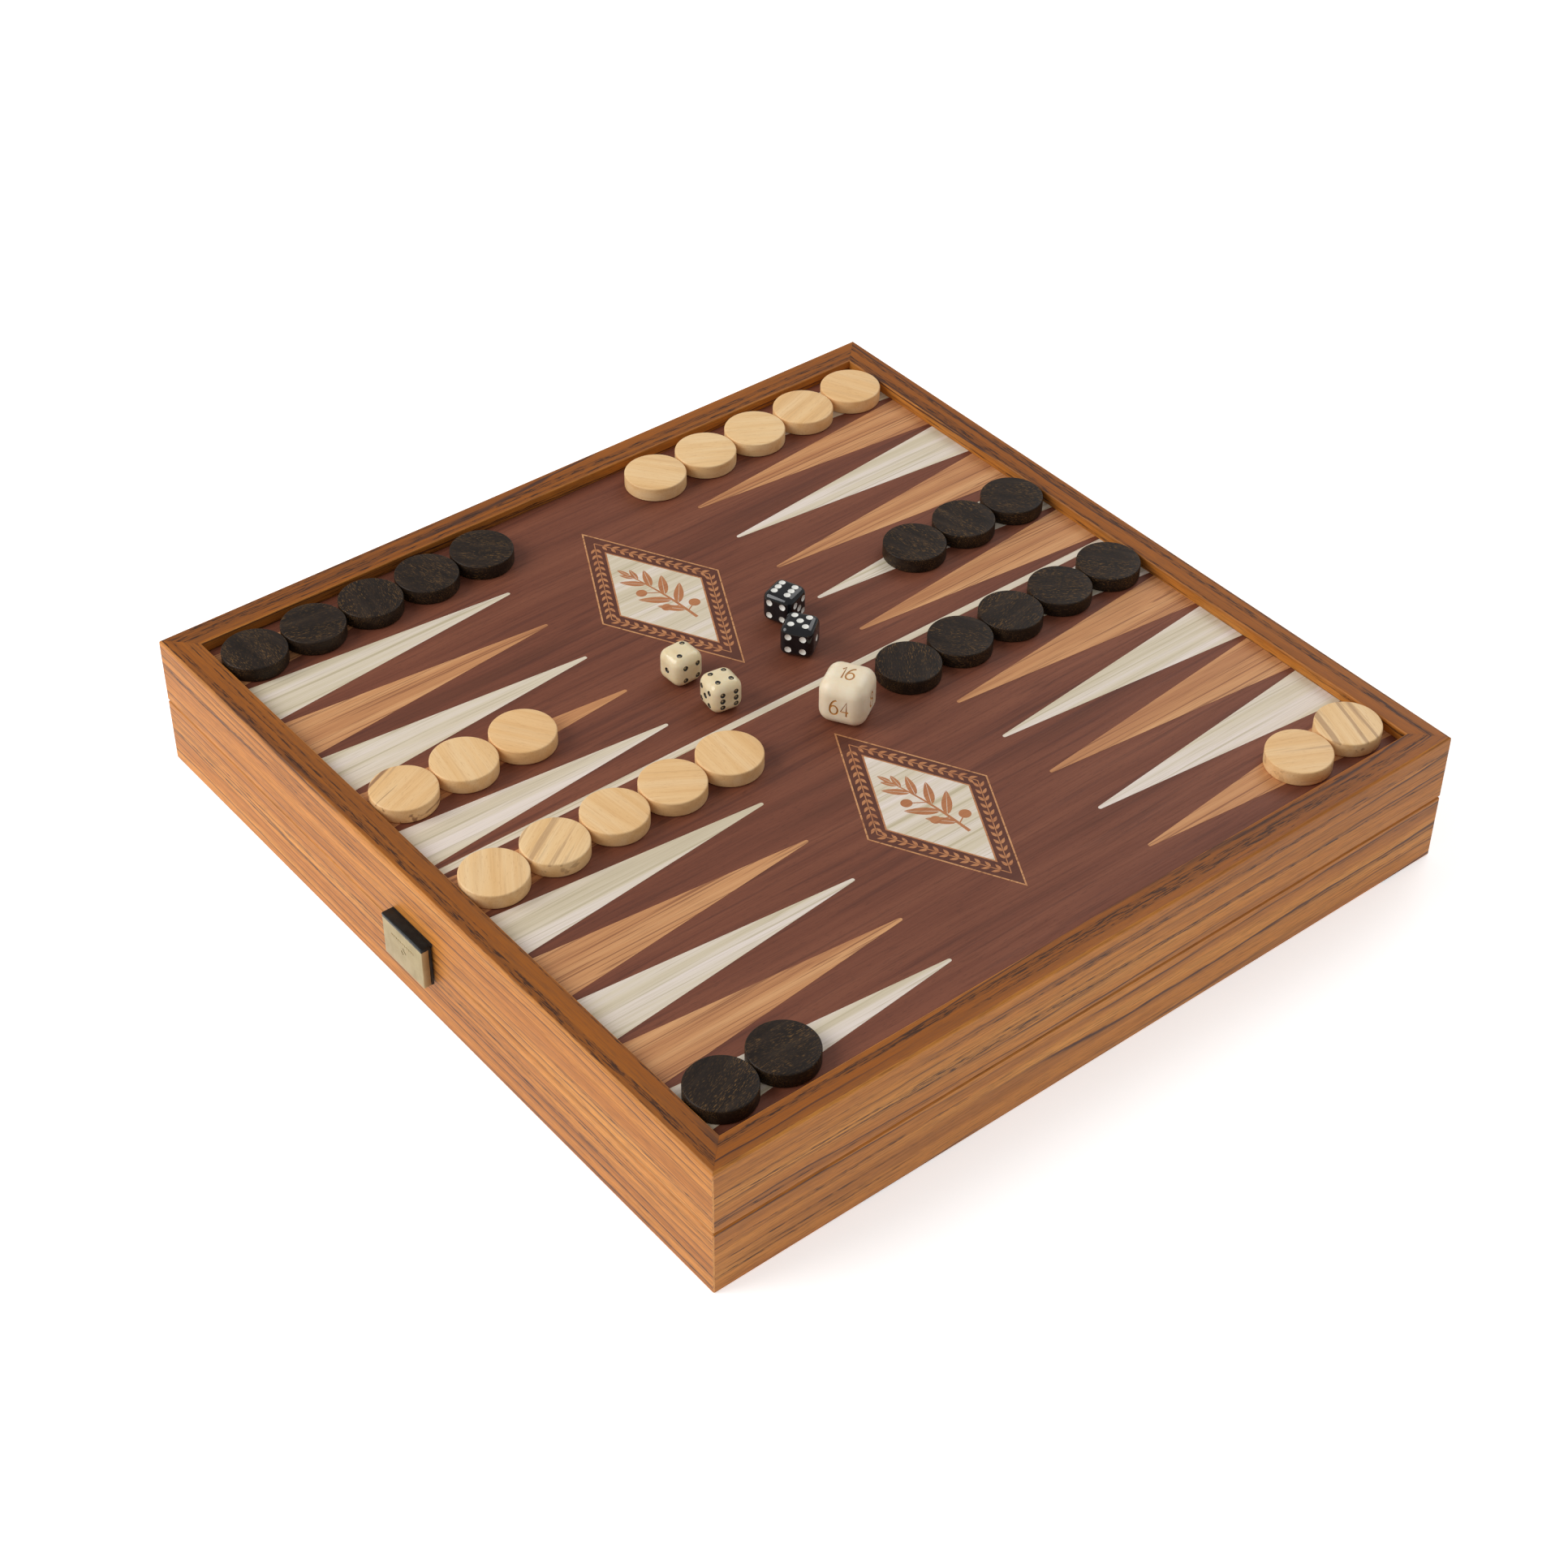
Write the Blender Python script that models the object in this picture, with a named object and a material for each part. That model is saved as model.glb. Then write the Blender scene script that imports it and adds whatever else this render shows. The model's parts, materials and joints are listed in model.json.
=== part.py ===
"""Backgammon set: a hinged square box whose lid carries the playing board, with its playing pieces.

Metres, +Z up. The origin is the centre of the box's underside. -Y is the front, where the pull tab hangs over
the seam, and +Y is the back, where the two hinges are. The box is closed and set up for the start of a game.
"""

import math

import bmesh
import bpy
from mathutils import Matrix, Vector

# Casing. The base and the lid are two shells of the same height, so the open lid lies flat behind the base.
BOX_WIDTH = 0.310
BOX_DEPTH = 0.310
SHELL_HEIGHT = 0.02595
SEAM_GAP = 0.0003
RAIL_THICKNESS = 0.0107
PANEL_THICKNESS = 0.004
PANEL_SEAT = 0.004  # how far a panel reaches into the rails
BOARD_RECESS = 0.0045  # from the top of the frame down to the board
FIT_GAP = 0.0003  # between two pieces that touch
SEAM_CHAMFER = 0.0015
FOOT_CHAMFER = 0.0004
OUTER_ROUND = 0.0012
INNER_ROUND = 0.0007
ROUND_STEPS = 3
SMOOTH_ANGLE = 30.0  # faces that meet at less than this are shaded as one round surface
BEVEL_ANGLE = 40.0  # edges sharper than this are bevelled

# Layout of the board: twelve points along the front and the back rail, six on each side of a centre line.
POINTS_PER_HALF = 6
CENTRE_LINE_WIDTH = 0.0029
POINT_GAP = 0.0021  # between the wide ends of neighbouring points
SIDE_MARGIN = 0.0044  # from the last point to the side rail

# Checkers
COLUMN_LENGTH = 5
CHECKER_THICKNESS = 0.0056
CHECKER_SIDE_PLAY = 0.0001  # by which a checker is narrower than its point
CHECKER_GAP = 0.0004  # between two checkers of a column
CHECKER_WALL_GAP = 0.0006
CHECKER_BEVEL = 0.0005
CHECKER_SEGMENTS = 24
MIDDLE_LANE = 0.050  # kept free between facing columns, for the dice

# Each column: the rail it starts at (-1 front, 1 back), its point counted from -X, its colour and its length.
COLUMNS = (
    (-1, 0, "dark", 5),
    (-1, 4, "light", 3),
    (-1, 6, "light", 5),
    (-1, 11, "dark", 2),
    (1, 0, "light", 5),
    (1, 4, "dark", 3),
    (1, 6, "dark", 5),
    (1, 11, "light", 2),
)

# Dice and doubling cube. Each place is counted in the piece's own edges from the centre of the board.
DIE_EDGE = 0.012
DIE_ROUND = 0.0022
DIE_ROUND_STEPS = 2
DICE = (
    ("die_black_1", "black", (-3.12, 2.15), 20.0),
    ("die_black_2", "black", (-1.67, 1.55), 35.3),
    ("die_ivory_1", "ivory", (-2.72, -1.93), 1.0),
    ("die_ivory_2", "ivory", (-1.08, -1.78), -8.2),
)
CUBE_EDGE = 0.017
CUBE_ROUND = 0.0034
CUBE_ROUND_STEPS = 3
CUBE_PLACE = (1.01, 0.52)
CUBE_TURN = 31.0

# Hinges: surface-mounted butt hinges, two knuckles on the base leaf around one on the lid leaf.
HINGE_WIDTH = 0.026
HINGE_INSET = 0.060  # from the side of the box to the middle of a hinge
LEAF_HEIGHT = 0.011  # from the pin's axis to the far edge of a leaf
LEAF_THICKNESS = 0.0008
LEAF_FOLD_GAP = 0.0004  # between the two leaves when the lid lies open
KNUCKLE_RADIUS = 0.0018
KNUCKLE_COUNT = 3
KNUCKLE_CLEARANCE = 0.00035
KNUCKLE_SEGMENTS = 24
PIN_RADIUS = 0.0008
PIN_PLAY = 0.00025
PIN_OVERHANG = 0.0004
PIN_SEGMENTS = 16
SCREW_HOLE_RADIUS = 0.0013
SCREW_SPACING = 0.016
SCREW_EDGE = 0.0035  # from the far edge of a leaf to the middle of its screw holes
SCREW_SEGMENTS = 12
CUT_OVERRUN = 0.001  # by which a cutter stands out of the piece that it cuts

# Pull tab: a leather strap glued into a slot of the lid, with a plate on its free end.
TAB_WIDTH = 0.0223
STRAP_THICKNESS = 0.0013
STRAP_RISE = 0.0063  # from the lid's lower edge to the middle of the strap
STRAP_SEAT = 0.004
STRAP_SHOW = 0.0002  # how far the glued end stands out of the rail
FLAP_STANDOFF = 0.0005  # between the front rail and the hanging flap
FLAP_THICKNESS = 0.0007
FLAP_ROUND_STEPS = 6
PLATE_HEIGHT = 0.0154
PLATE_THICKNESS = 0.003
PLATE_BEVEL = 0.0003

SEAM_BOTTOM = SHELL_HEIGHT
SEAM_TOP = SHELL_HEIGHT + SEAM_GAP
SEAM_MIDDLE = SHELL_HEIGHT + SEAM_GAP / 2
BOX_TOP = SEAM_TOP + SHELL_HEIGHT
BOARD_TOP = BOX_TOP - BOARD_RECESS
BOARD_UNDERSIDE = BOARD_TOP - PANEL_THICKNESS
PIECE_BOTTOM = BOARD_TOP + FIT_GAP
INNER_HALF_WIDTH = BOX_WIDTH / 2 - RAIL_THICKNESS
INNER_HALF_DEPTH = BOX_DEPTH / 2 - RAIL_THICKNESS

# The pin sits far enough out for the knuckles to clear the V of the seam, and for the folded leaves to clear.
KNUCKLE_ROOM = (KNUCKLE_RADIUS + KNUCKLE_CLEARANCE) * math.sqrt(2) - SEAM_CHAMFER - SEAM_GAP / 2
LEAF_ROOM = FIT_GAP + LEAF_THICKNESS + LEAF_FOLD_GAP / 2
HINGE_Y = BOX_DEPTH / 2 + max(KNUCKLE_ROOM, LEAF_ROOM)

STRAP_Z = SEAM_TOP + STRAP_RISE
TAB_PIVOT_Y = -BOX_DEPTH / 2 - FLAP_STANDOFF - STRAP_THICKNESS / 2


def clear_scene():
    for obj in list(bpy.data.objects):
        bpy.data.objects.remove(obj, do_unlink=True)


def make_material(name, colour, roughness, metallic=0.0):
    material = bpy.data.materials.new(name)
    material.use_nodes = True
    shader = material.node_tree.nodes["Principled BSDF"]
    shader.inputs["Base Color"].default_value = (*colour, 1.0)
    shader.inputs["Roughness"].default_value = roughness
    shader.inputs["Metallic"].default_value = metallic
    material.diffuse_color = (*colour, 1.0)
    return material


def make_materials():
    return {
        "rail": make_material("frame_wood", (0.45, 0.23, 0.10), 0.45),
        "board": make_material("board_veneer", (0.17, 0.07, 0.045), 0.50),
        "floor": make_material("tray_veneer", (0.42, 0.27, 0.15), 0.60),
        "light": make_material("light_wood", (0.72, 0.50, 0.27), 0.50),
        "dark": make_material("dark_wood", (0.030, 0.022, 0.018), 0.55),
        "ivory": make_material("ivory_plastic", (0.80, 0.72, 0.50), 0.25),
        "black": make_material("black_plastic", (0.010, 0.010, 0.012), 0.15),
        "cube": make_material("bone_plastic", (0.82, 0.70, 0.52), 0.35),
        "leather": make_material("strap_leather", (0.010, 0.012, 0.014), 0.50),
        "plate": make_material("plate_gold", (0.80, 0.62, 0.32), 0.30, 1.0),
        "hinge": make_material("hinge_brass", (0.78, 0.57, 0.26), 0.35, 1.0),
        "pin": make_material("pin_steel", (0.55, 0.55, 0.56), 0.30, 1.0),
    }


def make_object(name, mesh, material=None, pivot=None):
    """An object of a mesh in world space; a moving one is the child of the empty on its joint's axis."""
    obj = bpy.data.objects.new(name, mesh)
    bpy.context.scene.collection.objects.link(obj)
    if material:
        mesh.materials.append(material)
    if pivot:
        obj.parent = pivot
        obj.matrix_parent_inverse = Matrix.Translation(-pivot.location)
    return obj


def make_pivot(name, location):
    pivot = bpy.data.objects.new(name, None)
    pivot.location = location
    bpy.context.scene.collection.objects.link(pivot)
    return pivot


def finished_mesh(name, shape):
    """The Blender mesh of a bmesh, with its faces pointing out."""
    bmesh.ops.recalc_face_normals(shape, faces=shape.faces[:])
    mesh = bpy.data.meshes.new(name)
    shape.to_mesh(mesh)
    shape.free()
    return mesh


def box_mesh(name, low, high):
    shape = bmesh.new()
    bmesh.ops.create_cube(shape, size=1.0)
    low = Vector(low)
    high = Vector(high)
    bmesh.ops.scale(shape, vec=high - low, verts=shape.verts[:])
    bmesh.ops.translate(shape, vec=(low + high) / 2, verts=shape.verts[:])
    return finished_mesh(name, shape)


def cylinder_mesh(name, radius, length, segments, axis, centre):
    shape = bmesh.new()
    bmesh.ops.create_cone(
        shape, cap_ends=True, segments=segments, radius1=radius, radius2=radius, depth=length
    )
    turn = Vector((0, 0, 1)).rotation_difference(Vector(axis)).to_matrix()
    bmesh.ops.rotate(shape, verts=shape.verts[:], matrix=turn)
    bmesh.ops.translate(shape, vec=centre, verts=shape.verts[:])
    mesh = finished_mesh(name, shape)
    smooth_rounds(mesh)
    return mesh


def extruded_mesh(name, outline, vector):
    """A solid swept from a flat outline of 3-D points along a vector."""
    shape = bmesh.new()
    face = shape.faces.new([shape.verts.new(point) for point in outline])
    swept = bmesh.ops.extrude_face_region(shape, geom=[face], use_keep_orig=True)
    moved = [item for item in swept["geom"] if isinstance(item, bmesh.types.BMVert)]
    bmesh.ops.translate(shape, vec=vector, verts=moved)
    return finished_mesh(name, shape)


def smooth_rounds(mesh):
    mesh.shade_smooth()
    mesh.set_sharp_from_angle(angle=math.radians(SMOOTH_ANGLE))


def add_bevel(obj, width, segments):
    bevel = obj.modifiers.new("rounded_edges", "BEVEL")
    bevel.width = width
    bevel.segments = segments
    bevel.limit_method = "ANGLE"
    bevel.angle_limit = math.radians(BEVEL_ANGLE)


def make_tool(name, mesh):
    """A hidden solid that a Boolean joins or cuts with."""
    tool = make_object(name, mesh)
    tool.hide_render = True
    tool.display_type = "WIRE"
    return tool


def add_boolean(obj, tool, operation):
    boolean = obj.modifiers.new(tool.name, "BOOLEAN")
    boolean.operation = operation
    boolean.solver = "EXACT"
    boolean.object = tool


def arc(centre, radius, start, end, steps):
    """Points on an arc, from the start angle to the end angle in degrees."""
    angles = [math.radians(start + (end - start) * step / steps) for step in range(steps + 1)]
    return [(centre[0] + radius * math.cos(a), centre[1] + radius * math.sin(a)) for a in angles]


# Casing


def base_profile():
    """Section of a base rail as (distance in from its outer face, height), rebated for the floor panel."""
    rebate_wall = RAIL_THICKNESS - PANEL_SEAT
    rebate_top = PANEL_THICKNESS + FIT_GAP
    return [
        (FOOT_CHAMFER, 0.0),
        (rebate_wall, 0.0),
        (rebate_wall, rebate_top),
        (RAIL_THICKNESS, rebate_top),
        (RAIL_THICKNESS, SEAM_BOTTOM),
        (SEAM_CHAMFER, SEAM_BOTTOM),
        (0.0, SEAM_BOTTOM - SEAM_CHAMFER),
        (0.0, FOOT_CHAMFER),
    ]


def lid_profile():
    """Section of a lid rail, with a groove that holds the board and a rounded top."""
    groove_wall = RAIL_THICKNESS - PANEL_SEAT
    groove_low = BOARD_UNDERSIDE - FIT_GAP
    groove_high = BOARD_TOP + FIT_GAP
    inner_centre = (RAIL_THICKNESS - INNER_ROUND, BOX_TOP - INNER_ROUND)
    outer_centre = (OUTER_ROUND, BOX_TOP - OUTER_ROUND)
    return [
        (SEAM_CHAMFER, SEAM_TOP),
        (RAIL_THICKNESS, SEAM_TOP),
        (RAIL_THICKNESS, groove_low),
        (groove_wall, groove_low),
        (groove_wall, groove_high),
        (RAIL_THICKNESS, groove_high),
        *arc(inner_centre, INNER_ROUND, 0, 90, ROUND_STEPS),
        *arc(outer_centre, OUTER_ROUND, 90, 180, ROUND_STEPS),
        (0.0, SEAM_TOP + SEAM_CHAMFER),
    ]


def rail_mesh(name, profile, length, reach, turn):
    """A rail with mitred ends, built at the front and turned about Z to its side of the box."""
    mitre = FIT_GAP / math.sqrt(2)
    shape = bmesh.new()
    ends = []
    for side in (-1, 1):
        ring = []
        for inset, height in profile:
            along = side * (length / 2 - inset - mitre)
            ring.append(shape.verts.new((along, -reach + inset, height)))
        ends.append(ring)
    count = len(profile)
    for index in range(count):
        following = (index + 1) % count
        shape.faces.new((ends[0][index], ends[0][following], ends[1][following], ends[1][index]))
    shape.faces.new(ends[0])
    shape.faces.new(ends[1])
    bmesh.ops.rotate(shape, verts=shape.verts[:], matrix=Matrix.Rotation(math.radians(turn), 3, "Z"))
    return finished_mesh(name, shape)


def make_shell(prefix, profile, material, pivot=None):
    """The four mitred rails of the base or of the lid, by side."""
    rails = {}
    for side, length, reach, turn in (
        ("front", BOX_WIDTH, BOX_DEPTH / 2, 0),
        ("right", BOX_DEPTH, BOX_WIDTH / 2, 90),
        ("back", BOX_WIDTH, BOX_DEPTH / 2, 180),
        ("left", BOX_DEPTH, BOX_WIDTH / 2, 270),
    ):
        name = f"{prefix}_rail_{side}"
        rails[side] = make_object(name, rail_mesh(name, profile, length, reach, turn), material, pivot)
    return rails


def make_panel(name, bottom, material, pivot=None):
    half_width = INNER_HALF_WIDTH + PANEL_SEAT - FIT_GAP
    half_depth = INNER_HALF_DEPTH + PANEL_SEAT - FIT_GAP
    low = (-half_width, -half_depth, bottom)
    high = (half_width, half_depth, bottom + PANEL_THICKNESS)
    return make_object(name, box_mesh(name, low, high), material, pivot)


# Hinges


def knuckle_spans(left, own):
    """X ranges of the knuckles with these numbers, with a gap between neighbours."""
    pitch = (HINGE_WIDTH + FIT_GAP) / KNUCKLE_COUNT
    return [(left + number * pitch, left + (number + 1) * pitch - FIT_GAP) for number in own]


def leaf_outline(left, right, spans, direction):
    """Outline of a leaf in XZ: a plate clear of the barrel, with a tongue to the axis at each knuckle."""
    near = SEAM_MIDDLE + direction * (KNUCKLE_RADIUS + KNUCKLE_CLEARANCE)
    far = SEAM_MIDDLE + direction * LEAF_HEIGHT
    edge = [(left, near)]
    for low, high in spans:
        edge += [(low, near), (low, SEAM_MIDDLE), (high, SEAM_MIDDLE), (high, near)]
    edge.append((right, near))
    # A knuckle that ends flush with the leaf has no corner of the plate beside it.
    if math.isclose(edge[1][0], left):
        edge = edge[2:]
    if math.isclose(edge[-2][0], right):
        edge = edge[:-2]
    return [(left, far), *edge, (right, far)]


def add_knuckles(leaf, spans):
    for number, (low, high) in enumerate(spans):
        name = f"{leaf.name}_barrel_{number}"
        centre = ((low + high) / 2, HINGE_Y, SEAM_MIDDLE)
        barrel = cylinder_mesh(name, KNUCKLE_RADIUS, high - low, KNUCKLE_SEGMENTS, (1, 0, 0), centre)
        add_boolean(leaf, make_tool(name, barrel), "UNION")


def cut_bore(leaf, middle):
    name = f"{leaf.name}_bore"
    centre = (middle, HINGE_Y, SEAM_MIDDLE)
    length = HINGE_WIDTH + 2 * CUT_OVERRUN
    bore = cylinder_mesh(name, PIN_RADIUS + PIN_PLAY, length, PIN_SEGMENTS, (1, 0, 0), centre)
    add_boolean(leaf, make_tool(name, bore), "DIFFERENCE")


def cut_screw_holes(leaf, middle, direction):
    height = SEAM_MIDDLE + direction * (LEAF_HEIGHT - SCREW_EDGE)
    depth = BOX_DEPTH / 2 + FIT_GAP + LEAF_THICKNESS / 2
    length = LEAF_THICKNESS + 2 * CUT_OVERRUN
    for side, offset in (("left", -SCREW_SPACING / 2), ("right", SCREW_SPACING / 2)):
        name = f"{leaf.name}_hole_{side}"
        centre = (middle + offset, depth, height)
        hole = cylinder_mesh(name, SCREW_HOLE_RADIUS, length, SCREW_SEGMENTS, (0, 1, 0), centre)
        add_boolean(leaf, make_tool(name, hole), "DIFFERENCE")


def make_leaf(name, middle, own, direction, material, pivot=None):
    left = middle - HINGE_WIDTH / 2
    right = middle + HINGE_WIDTH / 2
    spans = knuckle_spans(left, own)
    inner_face = BOX_DEPTH / 2 + FIT_GAP
    outline = [(x, inner_face, z) for x, z in leaf_outline(left, right, spans, direction)]
    leaf = make_object(name, extruded_mesh(name, outline, (0, LEAF_THICKNESS, 0)), material, pivot)
    add_knuckles(leaf, spans)
    cut_bore(leaf, middle)
    cut_screw_holes(leaf, middle, direction)


def make_hinge(side, middle, materials, lid_pivot):
    own_by_base = range(0, KNUCKLE_COUNT, 2)
    own_by_lid = range(1, KNUCKLE_COUNT, 2)
    make_leaf(f"hinge_{side}_base_leaf", middle, own_by_base, -1, materials["hinge"])
    make_leaf(f"hinge_{side}_lid_leaf", middle, own_by_lid, 1, materials["hinge"], lid_pivot)
    name = f"hinge_{side}_pin"
    length = HINGE_WIDTH + 2 * PIN_OVERHANG
    centre = (middle, HINGE_Y, SEAM_MIDDLE)
    pin = cylinder_mesh(name, PIN_RADIUS, length, PIN_SEGMENTS, (1, 0, 0), centre)
    make_object(name, pin, materials["pin"])


# Pull tab


def strap_outline():
    """Side view of the strap's free end as (Y, Z) from its bend: out over the plate, and down behind it."""
    half = STRAP_THICKNESS / 2
    front = -(FLAP_THICKNESS + FIT_GAP + PLATE_THICKNESS - half)
    drop = -(half + FIT_GAP + PLATE_HEIGHT)
    bend = arc((0.0, 0.0), half, 90, 0, FLAP_ROUND_STEPS)
    return [
        (front, half),
        *bend,
        (half, drop),
        (half - FLAP_THICKNESS, drop),
        (half - FLAP_THICKNESS, -half),
        (front, -half),
    ]


def make_strap(material, pivot):
    outline = [
        (-TAB_WIDTH / 2, TAB_PIVOT_Y + along, STRAP_Z + height) for along, height in strap_outline()
    ]
    make_object("tab_strap", extruded_mesh("tab_strap", outline, (TAB_WIDTH, 0, 0)), material, pivot)


def make_plate(material, pivot):
    back = -BOX_DEPTH / 2 - FLAP_STANDOFF - FLAP_THICKNESS - FIT_GAP
    top = STRAP_Z - STRAP_THICKNESS / 2 - FIT_GAP
    low = (-TAB_WIDTH / 2, back - PLATE_THICKNESS, top - PLATE_HEIGHT)
    high = (TAB_WIDTH / 2, back, top)
    plate = make_object("tab_plate", box_mesh("tab_plate", low, high), material, pivot)
    add_bevel(plate, PLATE_BEVEL, 1)


def make_root(lid_front, material, lid_pivot):
    """The glued end of the strap, in its slot in the front rail of the lid."""
    wall = -BOX_DEPTH / 2
    half = STRAP_THICKNESS / 2
    low = (-TAB_WIDTH / 2, wall - STRAP_SHOW, STRAP_Z - half)
    high = (TAB_WIDTH / 2, wall + STRAP_SEAT, STRAP_Z + half)
    make_object("tab_root", box_mesh("tab_root", low, high), material, lid_pivot)
    gap = Vector((FIT_GAP, FIT_GAP, FIT_GAP))
    slot = box_mesh("tab_slot", Vector(low) - gap, Vector(high) + gap)
    add_boolean(lid_front, make_tool("tab_slot", slot), "DIFFERENCE")


# Playing pieces


def point_pitch():
    """Distance between the middles of neighbouring points."""
    free = INNER_HALF_WIDTH - CENTRE_LINE_WIDTH / 2 - SIDE_MARGIN
    return free / POINTS_PER_HALF


def point_x(point):
    """Middle of a point, counted from -X."""
    pitch = point_pitch()
    first = CENTRE_LINE_WIDTH / 2 + POINT_GAP / 2 + pitch / 2
    if point < POINTS_PER_HALF:
        return -(first + (POINTS_PER_HALF - 1 - point) * pitch)
    return first + (point - POINTS_PER_HALF) * pitch


def checker_diameter():
    """As wide as a point, or less where two facing full columns would fill the middle lane."""
    by_point = point_pitch() - CHECKER_SIDE_PLAY
    column_room = INNER_HALF_DEPTH - CHECKER_WALL_GAP - MIDDLE_LANE / 2
    by_column = column_room / COLUMN_LENGTH - CHECKER_GAP
    return min(by_point, by_column)


def checker_mesh(colour, material):
    name = f"checker_{colour}"
    radius = checker_diameter() / 2
    mesh = cylinder_mesh(name, radius, CHECKER_THICKNESS, CHECKER_SEGMENTS, (0, 0, 1), (0, 0, 0))
    mesh.materials.append(material)
    return mesh


def place_piece(obj, place, turn, height, lid_pivot):
    """Stands a piece on the board, with its origin on the line that it lifts along."""
    obj.parent = lid_pivot
    obj.matrix_parent_inverse = Matrix.Translation(-lid_pivot.location)
    obj.location = (*place, PIECE_BOTTOM + height / 2)
    obj.rotation_euler.z = math.radians(turn)


def make_checkers(materials, lid_pivot):
    meshes = {colour: checker_mesh(colour, materials[colour]) for colour in ("light", "dark")}
    numbers = {"light": 0, "dark": 0}
    diameter = checker_diameter()
    first = INNER_HALF_DEPTH - CHECKER_WALL_GAP - diameter / 2
    for rail, point, colour, count in COLUMNS:
        for step in range(count):
            numbers[colour] += 1
            checker = make_object(f"checker_{colour}_{numbers[colour]:02d}", meshes[colour])
            add_bevel(checker, CHECKER_BEVEL, 1)
            place = (point_x(point), rail * (first - step * (diameter + CHECKER_GAP)))
            place_piece(checker, place, 0, CHECKER_THICKNESS, lid_pivot)


def rounded_cube(name, edge, rounding, steps, material):
    half = edge / 2
    mesh = box_mesh(name, (-half, -half, -half), (half, half, half))
    smooth_rounds(mesh)
    cube = make_object(name, mesh, material)
    add_bevel(cube, rounding, steps)
    return cube


def make_dice(materials, lid_pivot):
    for name, colour, place, turn in DICE:
        die = rounded_cube(name, DIE_EDGE, DIE_ROUND, DIE_ROUND_STEPS, materials[colour])
        place_piece(die, (place[0] * DIE_EDGE, place[1] * DIE_EDGE), turn, DIE_EDGE, lid_pivot)


def make_doubling_cube(material, lid_pivot):
    cube = rounded_cube("doubling_cube", CUBE_EDGE, CUBE_ROUND, CUBE_ROUND_STEPS, material)
    place = (CUBE_PLACE[0] * CUBE_EDGE, CUBE_PLACE[1] * CUBE_EDGE)
    place_piece(cube, place, CUBE_TURN, CUBE_EDGE, lid_pivot)


def main():
    clear_scene()
    materials = make_materials()
    lid_pivot = make_pivot("lid_pivot", (0, HINGE_Y, SEAM_MIDDLE))
    tab_pivot = make_pivot("tab_pivot", (0, TAB_PIVOT_Y, STRAP_Z))
    make_shell("base", base_profile(), materials["rail"])
    make_panel("base_panel", 0.0, materials["floor"])
    lid_rails = make_shell("lid", lid_profile(), materials["rail"], lid_pivot)
    make_panel("board_panel", BOARD_UNDERSIDE, materials["board"], lid_pivot)
    hinge_x = BOX_WIDTH / 2 - HINGE_INSET
    make_hinge("left", -hinge_x, materials, lid_pivot)
    make_hinge("right", hinge_x, materials, lid_pivot)
    make_root(lid_rails["front"], materials["leather"], lid_pivot)
    make_strap(materials["leather"], tab_pivot)
    make_plate(materials["plate"], tab_pivot)
    make_checkers(materials, lid_pivot)
    make_dice(materials, lid_pivot)
    make_doubling_cube(materials["cube"], lid_pivot)


main()
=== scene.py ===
"""Looks of the backgammon set: detailed pieces and materials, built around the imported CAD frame."""

import json
import random
from math import acos, asin, atan2, cos, degrees, hypot, pi, radians, sin

import bmesh
import bpy
from mathutils import Matrix, Vector


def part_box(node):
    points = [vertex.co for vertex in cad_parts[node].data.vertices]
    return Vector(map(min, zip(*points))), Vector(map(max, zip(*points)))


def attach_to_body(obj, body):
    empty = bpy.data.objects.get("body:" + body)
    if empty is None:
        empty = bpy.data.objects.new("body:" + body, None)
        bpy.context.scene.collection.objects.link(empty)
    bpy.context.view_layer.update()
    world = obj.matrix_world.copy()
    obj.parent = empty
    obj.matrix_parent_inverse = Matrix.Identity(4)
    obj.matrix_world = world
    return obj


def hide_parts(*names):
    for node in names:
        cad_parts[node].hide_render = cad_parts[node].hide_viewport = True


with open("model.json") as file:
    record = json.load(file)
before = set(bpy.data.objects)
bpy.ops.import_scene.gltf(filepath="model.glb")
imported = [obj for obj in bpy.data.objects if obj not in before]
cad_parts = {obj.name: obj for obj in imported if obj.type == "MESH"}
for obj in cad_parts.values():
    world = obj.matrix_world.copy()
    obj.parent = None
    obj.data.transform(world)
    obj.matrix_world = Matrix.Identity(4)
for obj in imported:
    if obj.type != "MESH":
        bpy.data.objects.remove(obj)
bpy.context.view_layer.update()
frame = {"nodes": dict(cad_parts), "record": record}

# Camera: the photograph's view of a box 310 mm wide.
CAMERA_TARGET = Vector((-0.010447, 0.004464, 0.0))
CAMERA_DISTANCE = 1.03543
CAMERA_AZIMUTH = 50.744
CAMERA_ELEVATION = 40.738
CAMERA_ROLL = 0.66
CAMERA_LENS = 67.66
CAMERA_SENSOR = 36.0

# Places that the frame gives
BOX_LOW, BOX_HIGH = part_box("base_rail_front")
WALL = -BOX_LOW.y
RAIL_THICKNESS = BOX_HIGH.y - BOX_LOW.y
INNER_HALF = WALL - RAIL_THICKNESS
SEAM_BOTTOM = BOX_HIGH.z
SEAM_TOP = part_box("lid_rail_right")[0].z
BOX_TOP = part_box("lid_rail_right")[1].z
BOARD_LOW, BOARD_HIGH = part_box("board_panel")
BOARD_TOP = BOARD_HIGH.z
FLOOR_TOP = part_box("base_panel")[1].z
PANEL_HALF = BOARD_HIGH.x

# Rails
MITRE_GAP = 0.00002
CORNER_CHAMFER = 0.00035
SEAM_CHAMFER = 0.0005
HINGE_CHAMFER = 0.0015  # along the back, where the knuckles need the room
FOOT_CHAMFER = 0.0004
OUTER_ROUND = 0.0012
INNER_ROUND = 0.0006
ROUND_STEPS = 7
REBATE_GAP = 0.00006
GROOVE = WALL - PANEL_HALF - REBATE_GAP  # from the outer face to the panels' edge
RAIL_CUTS = 24  # rows of vertices along a rail
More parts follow.
